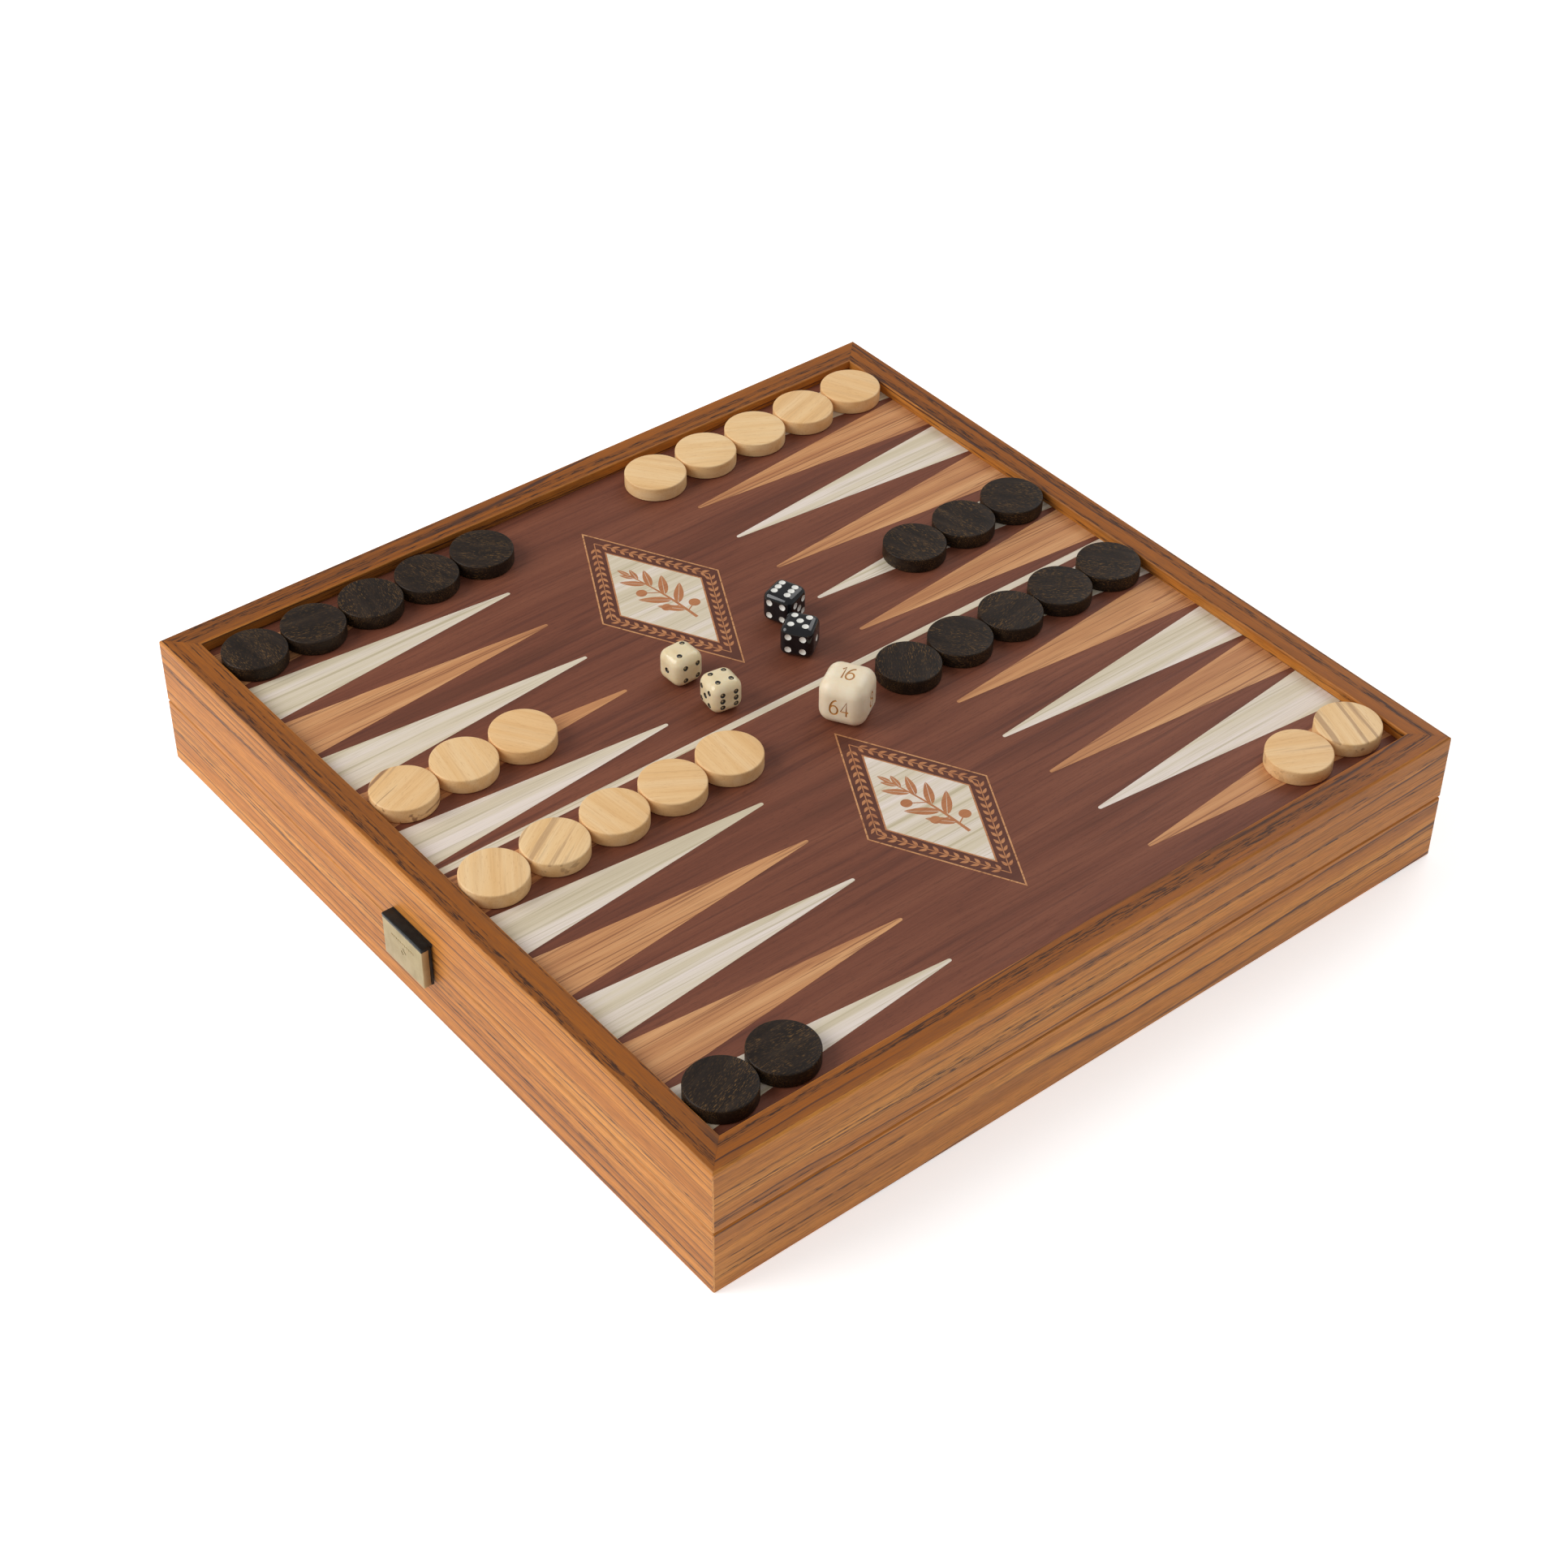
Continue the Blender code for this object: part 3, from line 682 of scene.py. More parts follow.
def base_profile(chamfer):
    """Section of a base rail as pairs of inset from the outer face and height."""
    top = FLOOR_TOP + REBATE_GAP
    return [
        (FOOT_CHAMFER, 0.0),
        (GROOVE, 0.0),
        (GROOVE, top),
        (RAIL_THICKNESS, top),
        (RAIL_THICKNESS, SEAM_BOTTOM),
        (chamfer, SEAM_BOTTOM),
        (0.0, SEAM_BOTTOM - chamfer),
        (0.0, FOOT_CHAMFER),
    ]


def lid_profile(chamfer):
    """Section of a lid rail as pairs of inset from the outer face and height."""
    low = BOARD_LOW.z - REBATE_GAP
    high = BOARD_TOP + 3 * INLAY_STEP
    return [
        (chamfer, SEAM_TOP),
        (RAIL_THICKNESS, SEAM_TOP),
        (RAIL_THICKNESS, low),
        (GROOVE, low),
        (GROOVE, high),
        (RAIL_THICKNESS, high),
        *arc((RAIL_THICKNESS - INNER_ROUND, BOX_TOP - INNER_ROUND), INNER_ROUND, 0, 90, ROUND_STEPS),
        *arc((OUTER_ROUND, BOX_TOP - OUTER_ROUND), OUTER_ROUND, 90, 180, ROUND_STEPS),
        (0.0, SEAM_TOP + chamfer),
    ]


def rail_shape(profile, grain_turn, offset):
    """A front rail from its section: a row of rings along it, with the two outer corners chamfered."""
    shape = new_shape()
    half = WALL - MITRE_GAP
    cut = CORNER_CHAMFER
    ends = [
        [(side * (half - max(inset, cut / 2)), max(inset, cut / 2), height) for inset, height in profile]
        for side in (-1, 1)
    ]
    rings = [
        [((half - inset - cut) * (2 * step / RAIL_CUTS - 1), inset, height) for inset, height in profile]
        for step in range(RAIL_CUTS + 1)
    ]
    rings = [ends[0], *rings, ends[1]]
    bands = loft(shape, [[shape.verts.new((x, -WALL + inset, z)) for x, inset, z in ring] for ring in rings])
    # The outer faces of the two corner chamfers take the second slot, a painted highlight.
    for index, (inset, _) in enumerate(profile):
        if inset == 0.0 and profile[(index + 1) % len(profile)][0] == 0.0:
            bands[0][index].material_index = 1
            bands[-1][index].material_index = 1
    set_grain(shape, shape.verts, grain_turn, offset)
    # The figure attribute marks the top: more pores there, and painted shade that darkens its colour.
    set_figure(shape, [vert for vert in shape.verts if vert.co.z > BOX_TOP - TOP_MARGIN], 1.0)
    return shape


def make_rails():
    for side, turn in (("front", 0), ("right", 90), ("back", 180), ("left", 270)):
        offset = random_offset()
        grain_turn = Matrix.Rotation(radians(GRAIN_TURNS[side]), 3, "X")
        chamfer = HINGE_CHAMFER if side == "back" else SEAM_CHAMFER
        for body, profile in (("base", base_profile(chamfer)), ("lid", lid_profile(chamfer))):
            shape = rail_shape(profile, grain_turn, offset)
            shape.transform(Matrix.Rotation(radians(turn), 4, "Z"))
            rail = new_object(f"{body}_frame_{side}", shape, "frame_wood", "frame_edge")
            smooth(rail)
            attach(rail, body, "frame_wood", f"{body}_rail_{side}")


# Board inlays


def point_x(point):
    """Middle of a point, counted from -X."""
    first = CENTRE_LINE_WIDTH / 2 + POINT_GAP / 2 + POINT_PITCH / 2
    if point < POINTS_PER_HALF:
        return ARTWORK_SHIFT - first - (POINTS_PER_HALF - 1 - point) * POINT_PITCH
    return ARTWORK_SHIFT + first + (point - POINTS_PER_HALF) * POINT_PITCH


def point_outline(middle, rail):
    """A long triangle with a small round tip."""
    half = (POINT_PITCH - POINT_GAP) / 2
    wall = INNER_HALF + REBATE_GAP
    radius = POINT_TIP_WIDTH / 2
    tip = [(middle + x, -(POINT_TIP_Y + radius) - y) for x, y in arc((0, 0), radius, 0, -180, TIP_STEPS)]
    outline = [(middle + half, -wall), *[(x, -abs(y)) for x, y in tip], (middle - half, -wall)]
    if rail > 0:
        outline = [(x, -y) for x, y in outline]
    return outline


def along_y():
    """Grain along Y: exchanges X and Y."""
    return Matrix(((0, 1, 0), (1, 0, 0), (0, 0, 1)))


def make_points():
    """Twenty-four points in two woods, which take turns along each rail."""
    shapes = {"inlay_cream": new_shape(), "inlay_tan": new_shape()}
    for rail, first, second in ((-1, "inlay_tan", "inlay_cream"), (1, "inlay_cream", "inlay_tan")):
        for point in range(2 * POINTS_PER_HALF):
            shape = shapes[second if point % 2 else first]
            outline = point_outline(point_x(point), rail)
            verts = add_plate(shape, outline, INLAY_LOW, INLAY_TOP)
            set_grain(shape, verts, along_y(), random_offset())
    for slot, shape in shapes.items():
        add_piece(slot.replace("inlay", "points"), shape, "lid", slot)


def make_centre_line():
    shape = new_shape()
    left = ARTWORK_SHIFT - CENTRE_LINE_WIDTH / 2
    right = ARTWORK_SHIFT + CENTRE_LINE_WIDTH / 2
    wall = INNER_HALF + REBATE_GAP
    outline = [(left, -wall), (right, -wall), (right, wall), (left, wall)]
    verts = add_plate(shape, outline, INLAY_LOW, INLAY_TOP)
    set_grain(shape, verts, along_y(), random_offset())
    add_piece("centre_line", shape, "lid", "inlay_cream")


def rhombus(centre_x, inset):
    """Corners of the medallion's rhombus, moved in by a distance."""
    side = hypot(MEDALLION_HALF_LENGTH, MEDALLION_HALF_WIDTH)
    share = 1 - inset * side / (MEDALLION_HALF_LENGTH * MEDALLION_HALF_WIDTH)
    length = MEDALLION_HALF_LENGTH * share
    width = MEDALLION_HALF_WIDTH * share
    shifts = ((length, 0), (0, width), (-length, 0), (0, -width))
    return [(centre_x + x, MEDALLION_Y + y) for x, y in shifts]


def bulge(share):
    """Half the width of a leaf at a share of its length, as a share of its greatest."""
    return sin(pi * share ** LEAF_POWER)


def lens_half(length, width, side):
    """One half of a pointed leaf along X, beside a thin vein."""
    outline = [(length * VEIN_FOOT, side * VEIN_WIDTH / 2), (length * VEIN_TIP, side * VEIN_WIDTH / 4)]
    for step in range(LEAF_STEPS, 0, -1):
        share = step / (LEAF_STEPS + 1)
        outline.append((length * share, side * (VEIN_WIDTH / 2 + width / 2 * bulge(share))))
    return outline


def lens(length, width):
    """A pointed leaf along X."""
    shares = [step / (LEAF_STEPS + 1) for step in range(1, LEAF_STEPS + 1)]
    upper = [(length * share, width / 2 * bulge(share)) for share in shares]
    return [(0.0, 0.0), *[(x, -y) for x, y in upper], (length, 0.0), *upper[::-1]]


def placed(outline, origin, angle):
    cosine = cos(angle)
    sine = sin(angle)
    return [(origin[0] + x * cosine - y * sine, origin[1] + x * sine + y * cosine) for x, y in outline]


def strip(points, widths):
    """Outline of a band of changing width along a path."""
    left = []
    right = []
    for index, (x, y) in enumerate(points):
        before = points[max(index - 1, 0)]
        after = points[min(index + 1, len(points) - 1)]
        along = Vector((after[0] - before[0], after[1] - before[1])).normalized()
        half = widths[index] / 2
        left.append((x - along.y * half, y + along.x * half))
        right.append((x + along.y * half, y - along.x * half))
    return left + right[::-1]


def add_border(shape, centre_x, level):
    """A stem with paired leaves along the middle of each side of the medallion's band."""
    corners = rhombus(centre_x, OUTLINE_WIDTH + BORDER_WIDTH / 2)
    for index, start in enumerate(corners):
        end = corners[(index + 1) % len(corners)]
        if index % 2:
            start, end = end, start
        run = Vector((end[0] - start[0], end[1] - start[1]))
        heading = atan2(run.y, run.x)
        height = level + 4 * index * LAYER_STEP
        add_plate(shape, strip([start, end], [BORDER_STEM_WIDTH] * 2), INLAY_LOW, height)
        for pair in range(BORDER_LEAF_PAIRS):
            foot = Vector(start) + run * (pair + 1.0) / (BORDER_LEAF_PAIRS + 0.9)
            for side in (-1, 1):
                origin = foot + Vector((-run.y, run.x)).normalized() * side * BORDER_LEAF_GAP
                angle = heading + side * radians(BORDER_LEAF_ANGLE)
                leaf = placed(lens(BORDER_LEAF_LENGTH, BORDER_LEAF_WIDTH), origin, angle)
                add_plate(shape, leaf, INLAY_LOW, height + (2 + side) * LAYER_STEP)


def stem_point(centre_x, share):
    """A place on the twig's curved main stem, from its foot at 0 to its tip at 1."""
    x = centre_x + TWIG_LENGTH * (0.5 - share)
    y = MEDALLION_Y + TWIG_FOOT + TWIG_RISE * share + TWIG_BEND * sin(pi * share)
    return x, y


def add_twig(shape, centre_x, level):
    """A plain twig: a tapering stem, lance-shaped leaves in alternation and three round berries."""
    shares = [step / TWIG_STEPS for step in range(TWIG_STEPS + 1)]
    path = [stem_point(centre_x, share) for share in shares]
    widths = [TWIG_FOOT_WIDTH + (TWIG_TIP_WIDTH - TWIG_FOOT_WIDTH) * share for share in shares]
    add_plate(shape, strip(path, widths), INLAY_LOW, level)
    for number, (share, side, length, angle) in enumerate(TWIG_LEAVES, 1):
        origin = stem_point(centre_x, share)
        ahead = stem_point(centre_x, share + 0.02)
        heading = atan2(ahead[1] - origin[1], ahead[0] - origin[0])
        turned = heading - side * radians(angle)
        for half in (-1, 1):
            leaf = placed(lens_half(length, length * TWIG_LEAF_RATIO, half), origin, turned)
            add_plate(shape, leaf, INLAY_LOW, level + 2 * number * LAYER_STEP)
    for number, (share, along, across, radius) in enumerate(TWIG_BERRIES, 1 + len(TWIG_LEAVES)):
        origin = stem_point(centre_x, share)
        centre = (origin[0] + along, origin[1] + across)
        height = level + 2 * number * LAYER_STEP
        add_plate(shape, strip([origin, centre], [STALK_WIDTH] * 2), INLAY_LOW, height)
        add_plate(shape, circle(centre, radius, BERRY_SEGMENTS), INLAY_LOW, height + LAYER_STEP)


def make_medallions():
    """Two medallions of inlay: outlines, a dark band with a leaf border, and a pale panel with a twig."""
    middle = (point_x(0) + point_x(POINTS_PER_HALF - 1)) / 2
    inner = OUTLINE_WIDTH + BORDER_WIDTH
    for name, centre_x in (("left", middle), ("right", 2 * ARTWORK_SHIFT - middle)):
        panel_edge = rhombus(centre_x, inner + INNER_OUTLINE_WIDTH)
        lines = new_shape()
        add_ring(lines, rhombus(centre_x, 0), rhombus(centre_x, OUTLINE_WIDTH), INLAY_LOW, INLAY_TOP)
        drawn = set(lines.verts)
        add_ring(lines, rhombus(centre_x, inner), panel_edge, INLAY_LOW, INLAY_TOP)
        add_border(lines, centre_x, INLAY_TOP)
        set_figure(lines, set(lines.verts) - drawn, BORDER_FIGURE)
        drawn = set(lines.verts)
        add_twig(lines, centre_x, INLAY_TOP + INLAY_STEP / 4)
        set_figure(lines, set(lines.verts) - drawn, TWIG_FIGURE)
        set_grain(lines, lines.verts, along_y(), random_offset())
        add_piece(f"medallion_{name}_lines", lines, "lid", "inlay_tan")
        band = new_shape()
        band_edges = rhombus(centre_x, OUTLINE_WIDTH), rhombus(centre_x, inner)
        verts = add_ring(band, *band_edges, INLAY_LOW, INLAY_TOP - INLAY_STEP / 2)
        set_figure(band, verts, 1.0)
        add_piece(f"medallion_{name}_band", band, "lid", "board_veneer")
        panel = new_shape()
        verts = add_plate(panel, panel_edge, INLAY_LOW, INLAY_TOP)
        set_grain(panel, verts, along_y(), random_offset())
        add_piece(f"medallion_{name}_panel", panel, "lid", "inlay_cream")


# Playing pieces


def set_down(piece, name, slot, turn=0.0):
    """Stands a playing piece on the board in place of its CAD node."""
    low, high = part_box(name)
    centre = (low + high) / 2
    piece.location = (centre.x, centre.y, PIECE_LEVEL + (high.z - low.z) / 2)
    piece.rotation_euler.z = radians(turn)
    attach(piece, name, slot, name)


def disc_shape(radius, thickness, rounding):
    """A turned disc with rounded edges, centred on the origin."""
    half = thickness / 2
    profile = [
        (radius * 0.5, -half),
        *arc((radius - rounding, -half + rounding), rounding, -90, 0, 4),
        *arc((radius - rounding, half - rounding), rounding, 0, 90, 4),
        (radius * 0.5, half),
    ]
    shape = new_shape()
    rings = [
        [shape.verts.new((x, y, height)) for x, y in circle((0, 0), distance, CHECKER_SEGMENTS)]
        for distance, height in profile
    ]
    for first, second in zip(rings, rings[1:]):
        bridge(shape, first, second)
    for ring, height in ((rings[0], -half), (rings[-1], half)):
        centre = shape.verts.new((0, 0, height))
        for vert, following in zip(ring, ring[1:] + ring[:1]):
            shape.faces.new((vert, following, centre))
    return shape


def make_checkers():
    """Each checker has its own grain direction, and a few are strongly streaked."""
    for name in sorted(name for name in frame["nodes"] if name.startswith("checker_")):
        low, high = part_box(name)
        shape = disc_shape((high.x - low.x) / 2, high.z - low.z, CHECKER_ROUND)
        turn = Matrix.Rotation(rng.uniform(0, 2 * pi), 3, "Z")
        set_grain(shape, shape.verts, turn, random_offset())
        set_figure(shape, shape.verts, CHECKER_STREAKS.get(name.removeprefix("checker_"), PLAIN_STREAKS))
        slot = "light_wood" if "light" in name else "dark_wood"
        checker = new_object(name.replace("checker", "man"), shape, slot)
        smooth(checker)
        set_down(checker, name, slot)


FACES = {
    "top": ((0, 0, 1), (1, 0, 0), (0, 1, 0)),
    "bottom": ((0, 0, -1), (1, 0, 0), (0, -1, 0)),
    "front": ((0, -1, 0), (1, 0, 0), (0, 0, 1)),
    "back": ((0, 1, 0), (-1, 0, 0), (0, 0, 1)),
    "right": ((1, 0, 0), (0, 1, 0), (0, 0, 1)),
    "left": ((-1, 0, 0), (0, -1, 0), (0, 0, 1)),
}

# Where the pips of each number are, in pip offsets from the middle of a face.
DIAGONAL = [(-1, 1), (1, -1)]
CORNERS = [(-1, 1), (1, -1), (-1, -1), (1, 1)]
PIPS = {
    1: [(0, 0)],
    2: DIAGONAL,
    3: [(0, 0), *DIAGONAL],
    4: CORNERS,
    5: [(0, 0), *CORNERS],
    6: [*CORNERS, (-1, 0), (1, 0)],
}

# Numbers on the top, the front and the right face of each die; opposite faces add up to seven.
DIE_FACES = {
    "die_black_1": (6, 4, 5),
    "die_black_2": (5, 4, 1),
    "die_ivory_1": (2, 1, 4),
    "die_ivory_2": (4, 5, 6),
}


def axes(face):
    """A face's outward direction, and the directions to its right and up it."""
    return [Vector(axis) for axis in FACES[face]]


def rounded_cube_shape(edge, rounding, steps):
    """A cube with rounded edges and a flat margin inside each face."""
    shape = new_shape()
    bmesh.ops.create_cube(shape, size=edge)
    bmesh.ops.bevel(
        shape, geom=shape.edges[:], offset=rounding, segments=steps, profile=0.5, affect="EDGES"
    )
    flats = [face for face in shape.faces if max(abs(part) for part in face.normal) > 0.9999]
    bmesh.ops.inset_individual(shape, faces=flats, thickness=edge * FLAT_MARGIN)
    return shape


def dimple_shape(radius, spot, edge, faces):
    """All pips of a die as round caps that dip into its faces, with a lighter spot in the middle of each."""
    sphere = (radius ** 2 + PIP_DEPTH ** 2) / (2 * PIP_DEPTH)
    brim = acos((sphere - PIP_DEPTH - PIP_RISE) / sphere)
    first = asin(spot / sphere) if spot else brim * 0.3
    angles = [first + (brim - first) * step / PIP_RINGS for step in range(PIP_RINGS + 1)]
    shape = new_shape()
    for face, number in faces.items():
        normal, across, up = axes(face)
        for u, v in PIPS[number]:
            lowest = across * u * PIP_OFFSET + up * v * PIP_OFFSET + normal * (edge / 2 - PIP_DEPTH)
            rings = []
            for angle in angles:
                centre = lowest + normal * sphere * (1 - cos(angle))
                outline = circle((0, 0), sphere * sin(angle), PIP_SEGMENTS)
                rings.append([shape.verts.new(centre + across * x + up * y) for x, y in outline])
            shape.faces.new(rings[0][::-1]).material_index = 2 if spot else 1
            shape.faces.new(rings[-1]).material_index = 1
            for inner, outer in zip(rings, rings[1:]):
                bridge(shape, inner, outer, 1)
    return shape


def carve(piece, cutter, crossing=False):
    """Takes the cutter's shape out of the piece, and keeps the result as the piece's own mesh."""
    boolean = piece.modifiers.new("carve", "BOOLEAN")
    boolean.operation = "DIFFERENCE"
    boolean.solver = "EXACT"
    boolean.use_self = crossing
    boolean.object = cutter
    carved = evaluated_mesh(piece)
    piece.modifiers.clear()
    piece.data = carved
    bpy.data.objects.remove(cutter)


def make_dice():
    for name, (top, front, right) in DIE_FACES.items():
        slots, rounding, radius, spot = DICE[name.split("_")[1]]
        low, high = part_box(name)
        edge = high.z - low.z
        faces = {"top": top, "front": front, "right": right}
        faces.update({"bottom": 7 - top, "back": 7 - front, "left": 7 - right})
        die = new_object(name.replace("die", "dice"), rounded_cube_shape(edge, rounding, DIE_STEPS), *slots)
        carve(die, new_object("pips", dimple_shape(radius, spot, edge, faces), *slots))
        smooth(die, 25.0)
        set_down(die, name, slots[0], DIE_TURNS[name])


# Strokes of each digit, one unit high, as thin lines and arcs
NECK = [(0.55 + 0.55 * x, 0.30 + 0.70 * y) for x, y in arc((0, 0), 1, 95, 176, 9)]
DIGITS = {
    "1": [[(0.02, 0.80), (0.22, 1.0), (0.22, 0.0)]],
    "2": [[*arc((0.27, 0.73), 0.27, 170, -35, 12), (0.0, 0.0), (0.56, 0.0)]],
    "3": [arc((0.25, 0.76), 0.24, 150, -80, 12), arc((0.25, 0.26), 0.26, 82, -150, 12)],
    "4": [[(0.44, 0.0), (0.44, 1.0), (0.0, 0.30), (0.60, 0.30)]],
    "6": [[*NECK, *arc((0.30, 0.30), 0.30, 180, 535, 24)]],
    "8": [arc((0.27, 0.77), 0.225, 0, 355, 20), arc((0.27, 0.275), 0.275, 0, 355, 22)],
}


def digit_width(digit):
    return NUMBER_SQUEEZE * max(x for stroke in DIGITS[digit] for x, _ in stroke)


def number_cutter(text, face, edge):
    """A number as round strokes that lie half in a face of the cube."""
    normal, across, up = axes(face)
    width = sum(digit_width(digit) for digit in text) + NUMBER_GAP * (len(text) - 1)
    curve = bpy.data.curves.new(f"number_{text}", "CURVE")
    curve.dimensions = "3D"
    curve.bevel_depth = NUMBER_STROKE
    curve.bevel_resolution = 2
    curve.use_fill_caps = True
    left = -width / 2
    for digit in text:
        for stroke in DIGITS[digit]:
            spline = curve.splines.new("POLY")
            spline.points.add(len(stroke) - 1)
            for point, (x, y) in zip(spline.points, stroke):
                u = (left + x * NUMBER_SQUEEZE) * NUMBER_HEIGHT
                v = (y - 0.5) * NUMBER_HEIGHT
                place = across * u + up * v + normal * (edge / 2 + NUMBER_STROKE * NUMBER_RISE)
                point.co = (*place, 1.0)
        left += digit_width(digit) + NUMBER_GAP
    source = add_object("number", curve)
    mesh = evaluated_mesh(source)
    bpy.data.objects.remove(source)
    mesh.materials.clear()
    for slot in CUBE_SLOTS:
        mesh.materials.append(MATERIALS[slot])
    for polygon in mesh.polygons:
        polygon.material_index = 1
    return add_object("number_cutter", mesh)


def make_doubling_cube():
    low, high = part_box("doubling_cube")
    edge = high.z - low.z
    cube = new_object("stake_cube", rounded_cube_shape(edge, CUBE_ROUND, CUBE_STEPS), *CUBE_SLOTS)
    for face, text in CUBE_NUMBERS.items():
        carve(cube, number_cutter(text, face, edge), crossing=True)
    smooth(cube, 25.0)
    set_down(cube, "doubling_cube", CUBE_SLOTS[0], CUBE_TURN)


# Pull tab


def sweep_x(outline, low_x, high_x, edge):
    """A solid with the same YZ outline all along X, whose two ends are narrowed by a rounded edge."""
    shape = new_shape()
    middle = Vector((sum(y for y, _ in outline) / len(outline), sum(z for _, z in outline) / len(outline)))
    cuts = [(low_x, edge), (low_x + edge * 0.4, edge * 0.3), (low_x + edge, 0.0)]
    cuts += [(low_x + high_x - x, inset) for x, inset in reversed(cuts)]
    rings = []
    for x, inset in cuts:
        ring = []
        for y, z in outline:
            inward = middle - Vector((y, z))
            moved = Vector((y, z)) + inward.normalized() * min(inset, inward.length)
            ring.append(shape.verts.new((x, moved.x, moved.y)))
        rings.append(ring)
    loft(shape, rings)
    return shape


def make_strap():
    """The leather: a root glued into the lid, and a flap whose round bend turns about the tab's joint."""
    root_low, root_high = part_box("tab_root")
    flap_low, flap_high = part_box("tab_strap")
    plate_low, plate_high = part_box("tab_plate")
    half = (root_high.z - root_low.z) / 2
    centre_z = (root_low.z + root_high.z) / 2
    pivot_y = flap_high.y - half
    # The root narrows a little towards the bend, and is the same above and below.
    lower = [(pivot_y + half * 0.2, centre_z - half * 0.8), (root_high.y, centre_z - half * 0.98)]
    root = [*lower, *[(y, 2 * centre_z - z) for y, z in reversed(lower)]]
    ends = flap_low.x, flap_high.x, STRAP_EDGE
    add_piece("tab_leather_root", sweep_x(root, *ends), "lid", "strap_leather", "tab_root")
    lip = half * STRAP_LIP
    sheet_front = plate_high.y + PLATE_BACK_GAP
    flap = [
        *arc((pivot_y, centre_z), half, 90, 0, 8),
        (flap_high.y, flap_low.z),
        (sheet_front, flap_low.z),
        (sheet_front, plate_high.z + PLATE_TOP_GAP),
        (plate_low.y + lip * 0.3, plate_high.z + PLATE_TOP_GAP),
        *arc((flap_low.y + lip, centre_z + half - lip), lip, 200, 90, 8),
    ]
    smooth(add_piece("tab_leather_flap", sweep_x(flap, *ends), "tab", "strap_leather", "tab_strap"), 40.0)


def make_plate():
    """The metal plate: softened edges, and a row of small raised squares and a lozenge on its front."""
    low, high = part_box("tab_plate")
    front = low.y + RELIEF
    centre = (low + high) / 2
    shape = new_shape()
    bmesh.ops.create_cube(shape, size=1.0)
    size = Vector((high.x - low.x, high.y - front, high.z - low.z))
    middle = Vector((centre.x, (front + high.y) / 2, centre.z))
    shape.transform(Matrix.Translation(middle) @ Matrix.Diagonal((*size, 1)))
    bmesh.ops.bevel(
        shape, geom=shape.edges[:], offset=PLATE_ROUND, segments=3, profile=0.5, affect="EDGES"
    )
    smooth(add_piece("tab_plate_body", shape, "tab", "plate_gold", "tab_plate"))
    relief = new_shape()
    lozenge = [(LOZENGE_HALF, 0), (0, LOZENGE_HALF), (-LOZENGE_HALF, 0), (0, -LOZENGE_HALF)]
    add_ring(relief, lozenge, [(x * LOZENGE_HOLE, z * LOZENGE_HOLE) for x, z in lozenge], -RELIEF, RELIEF)
    for number in range(PLATE_DOTS):
        x = (number - (PLATE_DOTS - 1) / 2) * DOT_PITCH
        square = [(x + DOT_HALF * u, DOT_HEIGHT + DOT_HALF * v) for u, v in SQUARE]
        add_plate(relief, square, -RELIEF, RELIEF)
    upright = Matrix.Rotation(radians(90), 4, "X")
    relief.transform(Matrix.Translation((centre.x, front, centre.z)) @ upright)
    add_piece("tab_plate_relief", relief, "tab", "plate_gold")


# Hinges


def screw_shape():
    """A slotted countersunk head, filling its hole and domed a little; its axis is Z."""
    shape = new_shape()
    half_slot = SCREW_SLOT / 2
    start = degrees(asin(half_slot / SCREW_RADIUS))
    outline = arc((0, 0), SCREW_RADIUS, start, 180 - start, SCREW_STEPS)
    for side in (1, -1):
        rings = []
        for share, height in ((1.0, -SCREW_DEPTH), (1.0, 0.0), (0.8, SCREW_DOME * 0.6), (0.4, SCREW_DOME)):
            half = [(x * share, side * (half_slot + (y - half_slot) * share)) for x, y in outline]
            rings.append([shape.verts.new((x, y, height)) for x, y in half])
        loft(shape, rings)
    add_plate(shape, circle((0, 0), SCREW_RADIUS * 0.99, SCREW_STEPS + 2), SLOT_FLOOR, SLOT_TOP)
    return shape


def make_screws():
    """Two screws through each leaf."""
    upright = Matrix.Rotation(radians(-90), 4, "X")
    for side in ("left", "right"):
        for body, direction in (("base", -1), ("lid", 1)):
            low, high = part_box(f"hinge_{side}_{body}_leaf")
            middle = (low.x + high.x) / 2
            far = low.z if direction < 0 else high.z
            face = low.y + LEAF_THICKNESS - SCREW_SINK
            for number, offset in enumerate((-SCREW_SPACING / 2, SCREW_SPACING / 2), 1):
                shape = screw_shape()
                spin = Matrix.Rotation(rng.uniform(0, pi), 4, "Z")
                place = Matrix.Translation((middle + offset, face, far - direction * SCREW_EDGE))
                shape.transform(place @ upright @ spin)
                add_piece(f"screw_{side}_{body}_{number}", shape, body, "screw_brass")


def dress_cad_nodes():
    """Materials of the CAD nodes that stay as they are."""
    slots = {entry["node"]: entry["material_slot"] for entry in frame["record"]["subparts"]}
    for name, node in frame["nodes"].items():
        if name.startswith("hinge_") or name.endswith("_panel"):
            node.data.materials.clear()
            node.data.materials.append(MATERIALS[slots[name]])


# Studio


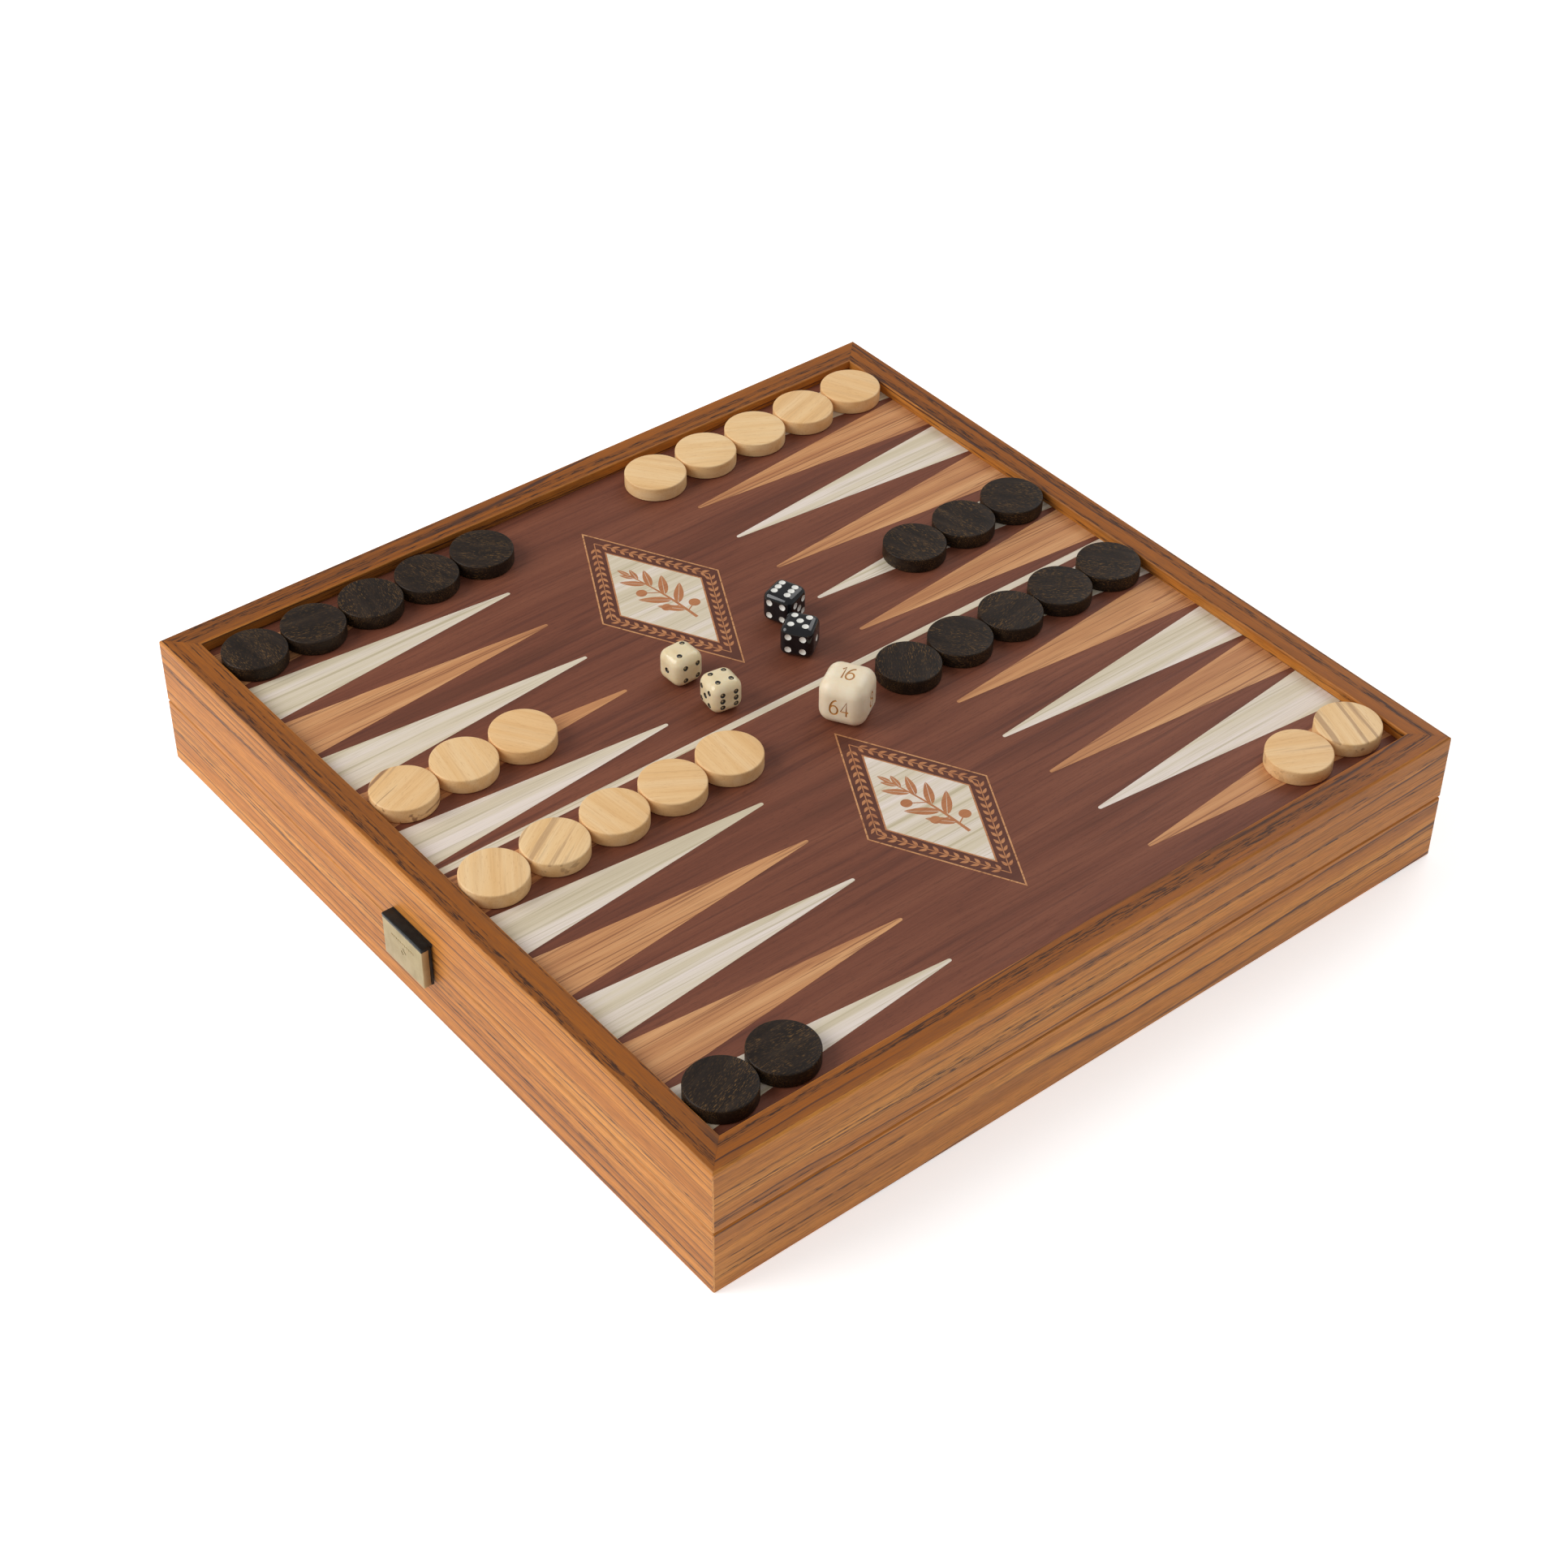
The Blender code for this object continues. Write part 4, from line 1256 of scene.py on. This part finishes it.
def make_floor():
    corners = [(FLOOR_HALF * x, FLOOR_HALF * y, -FLOOR_DROP) for x, y in SQUARE]
    mesh = bpy.data.meshes.new("floor")
    mesh.from_pydata(corners, [], [(0, 1, 2, 3)])
    settings = {
        "Base Color": (0.93, 0.93, 0.93, 1.0),
        "Roughness": 0.9,
        "Emission Color": (1.0, 1.0, 1.0, 1.0),
        "Emission Strength": FLOOR_GLOW,
    }
    mesh.materials.append(Shader("studio_white", settings).material)
    add_object("floor", mesh)


def make_light(name, location, size, power):
    """A soft disc of light, turned to the middle of the box's foot."""
    light = bpy.data.lights.new(name, "AREA")
    light.shape = "DISK"
    light.size = size
    light.energy = power
    lamp = add_object(name, light)
    lamp.location = location
    lamp.rotation_mode = "QUATERNION"
    lamp.rotation_quaternion = (-Vector(location)).to_track_quat("-Z", "Y")


def make_studio():
    make_floor()
    world = bpy.data.worlds.new("studio")
    world.use_nodes = True
    background = world.node_tree.nodes["Background"]
    background.inputs["Color"].default_value = (1.0, 1.0, 1.0, 1.0)
    background.inputs["Strength"].default_value = SKY_STRENGTH
    bpy.context.scene.world = world
    bpy.context.scene.view_settings.view_transform = "Standard"
    for name, (location, size, power) in LIGHTS.items():
        make_light(name, location, size, power)


def make_camera():
    """Looks at its target, from its distance, azimuth and elevation."""
    data = bpy.data.cameras.new("camera")
    data.lens = CAMERA_LENS
    data.sensor_width = CAMERA_SENSOR
    data.clip_start = 0.01
    camera = add_object("camera", data)
    azimuth = Matrix.Rotation(radians(CAMERA_AZIMUTH), 4, "Z")
    tilt = Matrix.Rotation(radians(90 - CAMERA_ELEVATION), 4, "X")
    roll = Matrix.Rotation(radians(CAMERA_ROLL), 4, "Z")
    away = Matrix.Translation((0, 0, CAMERA_DISTANCE))
    camera.matrix_world = Matrix.Translation(CAMERA_TARGET) @ azimuth @ tilt @ roll @ away
    bpy.context.scene.camera = camera


make_camera()
make_studio()
make_rails()
make_points()
make_centre_line()
make_medallions()
make_checkers()
make_dice()
make_doubling_cube()
make_strap()
make_plate()
make_screws()
dress_cad_nodes()
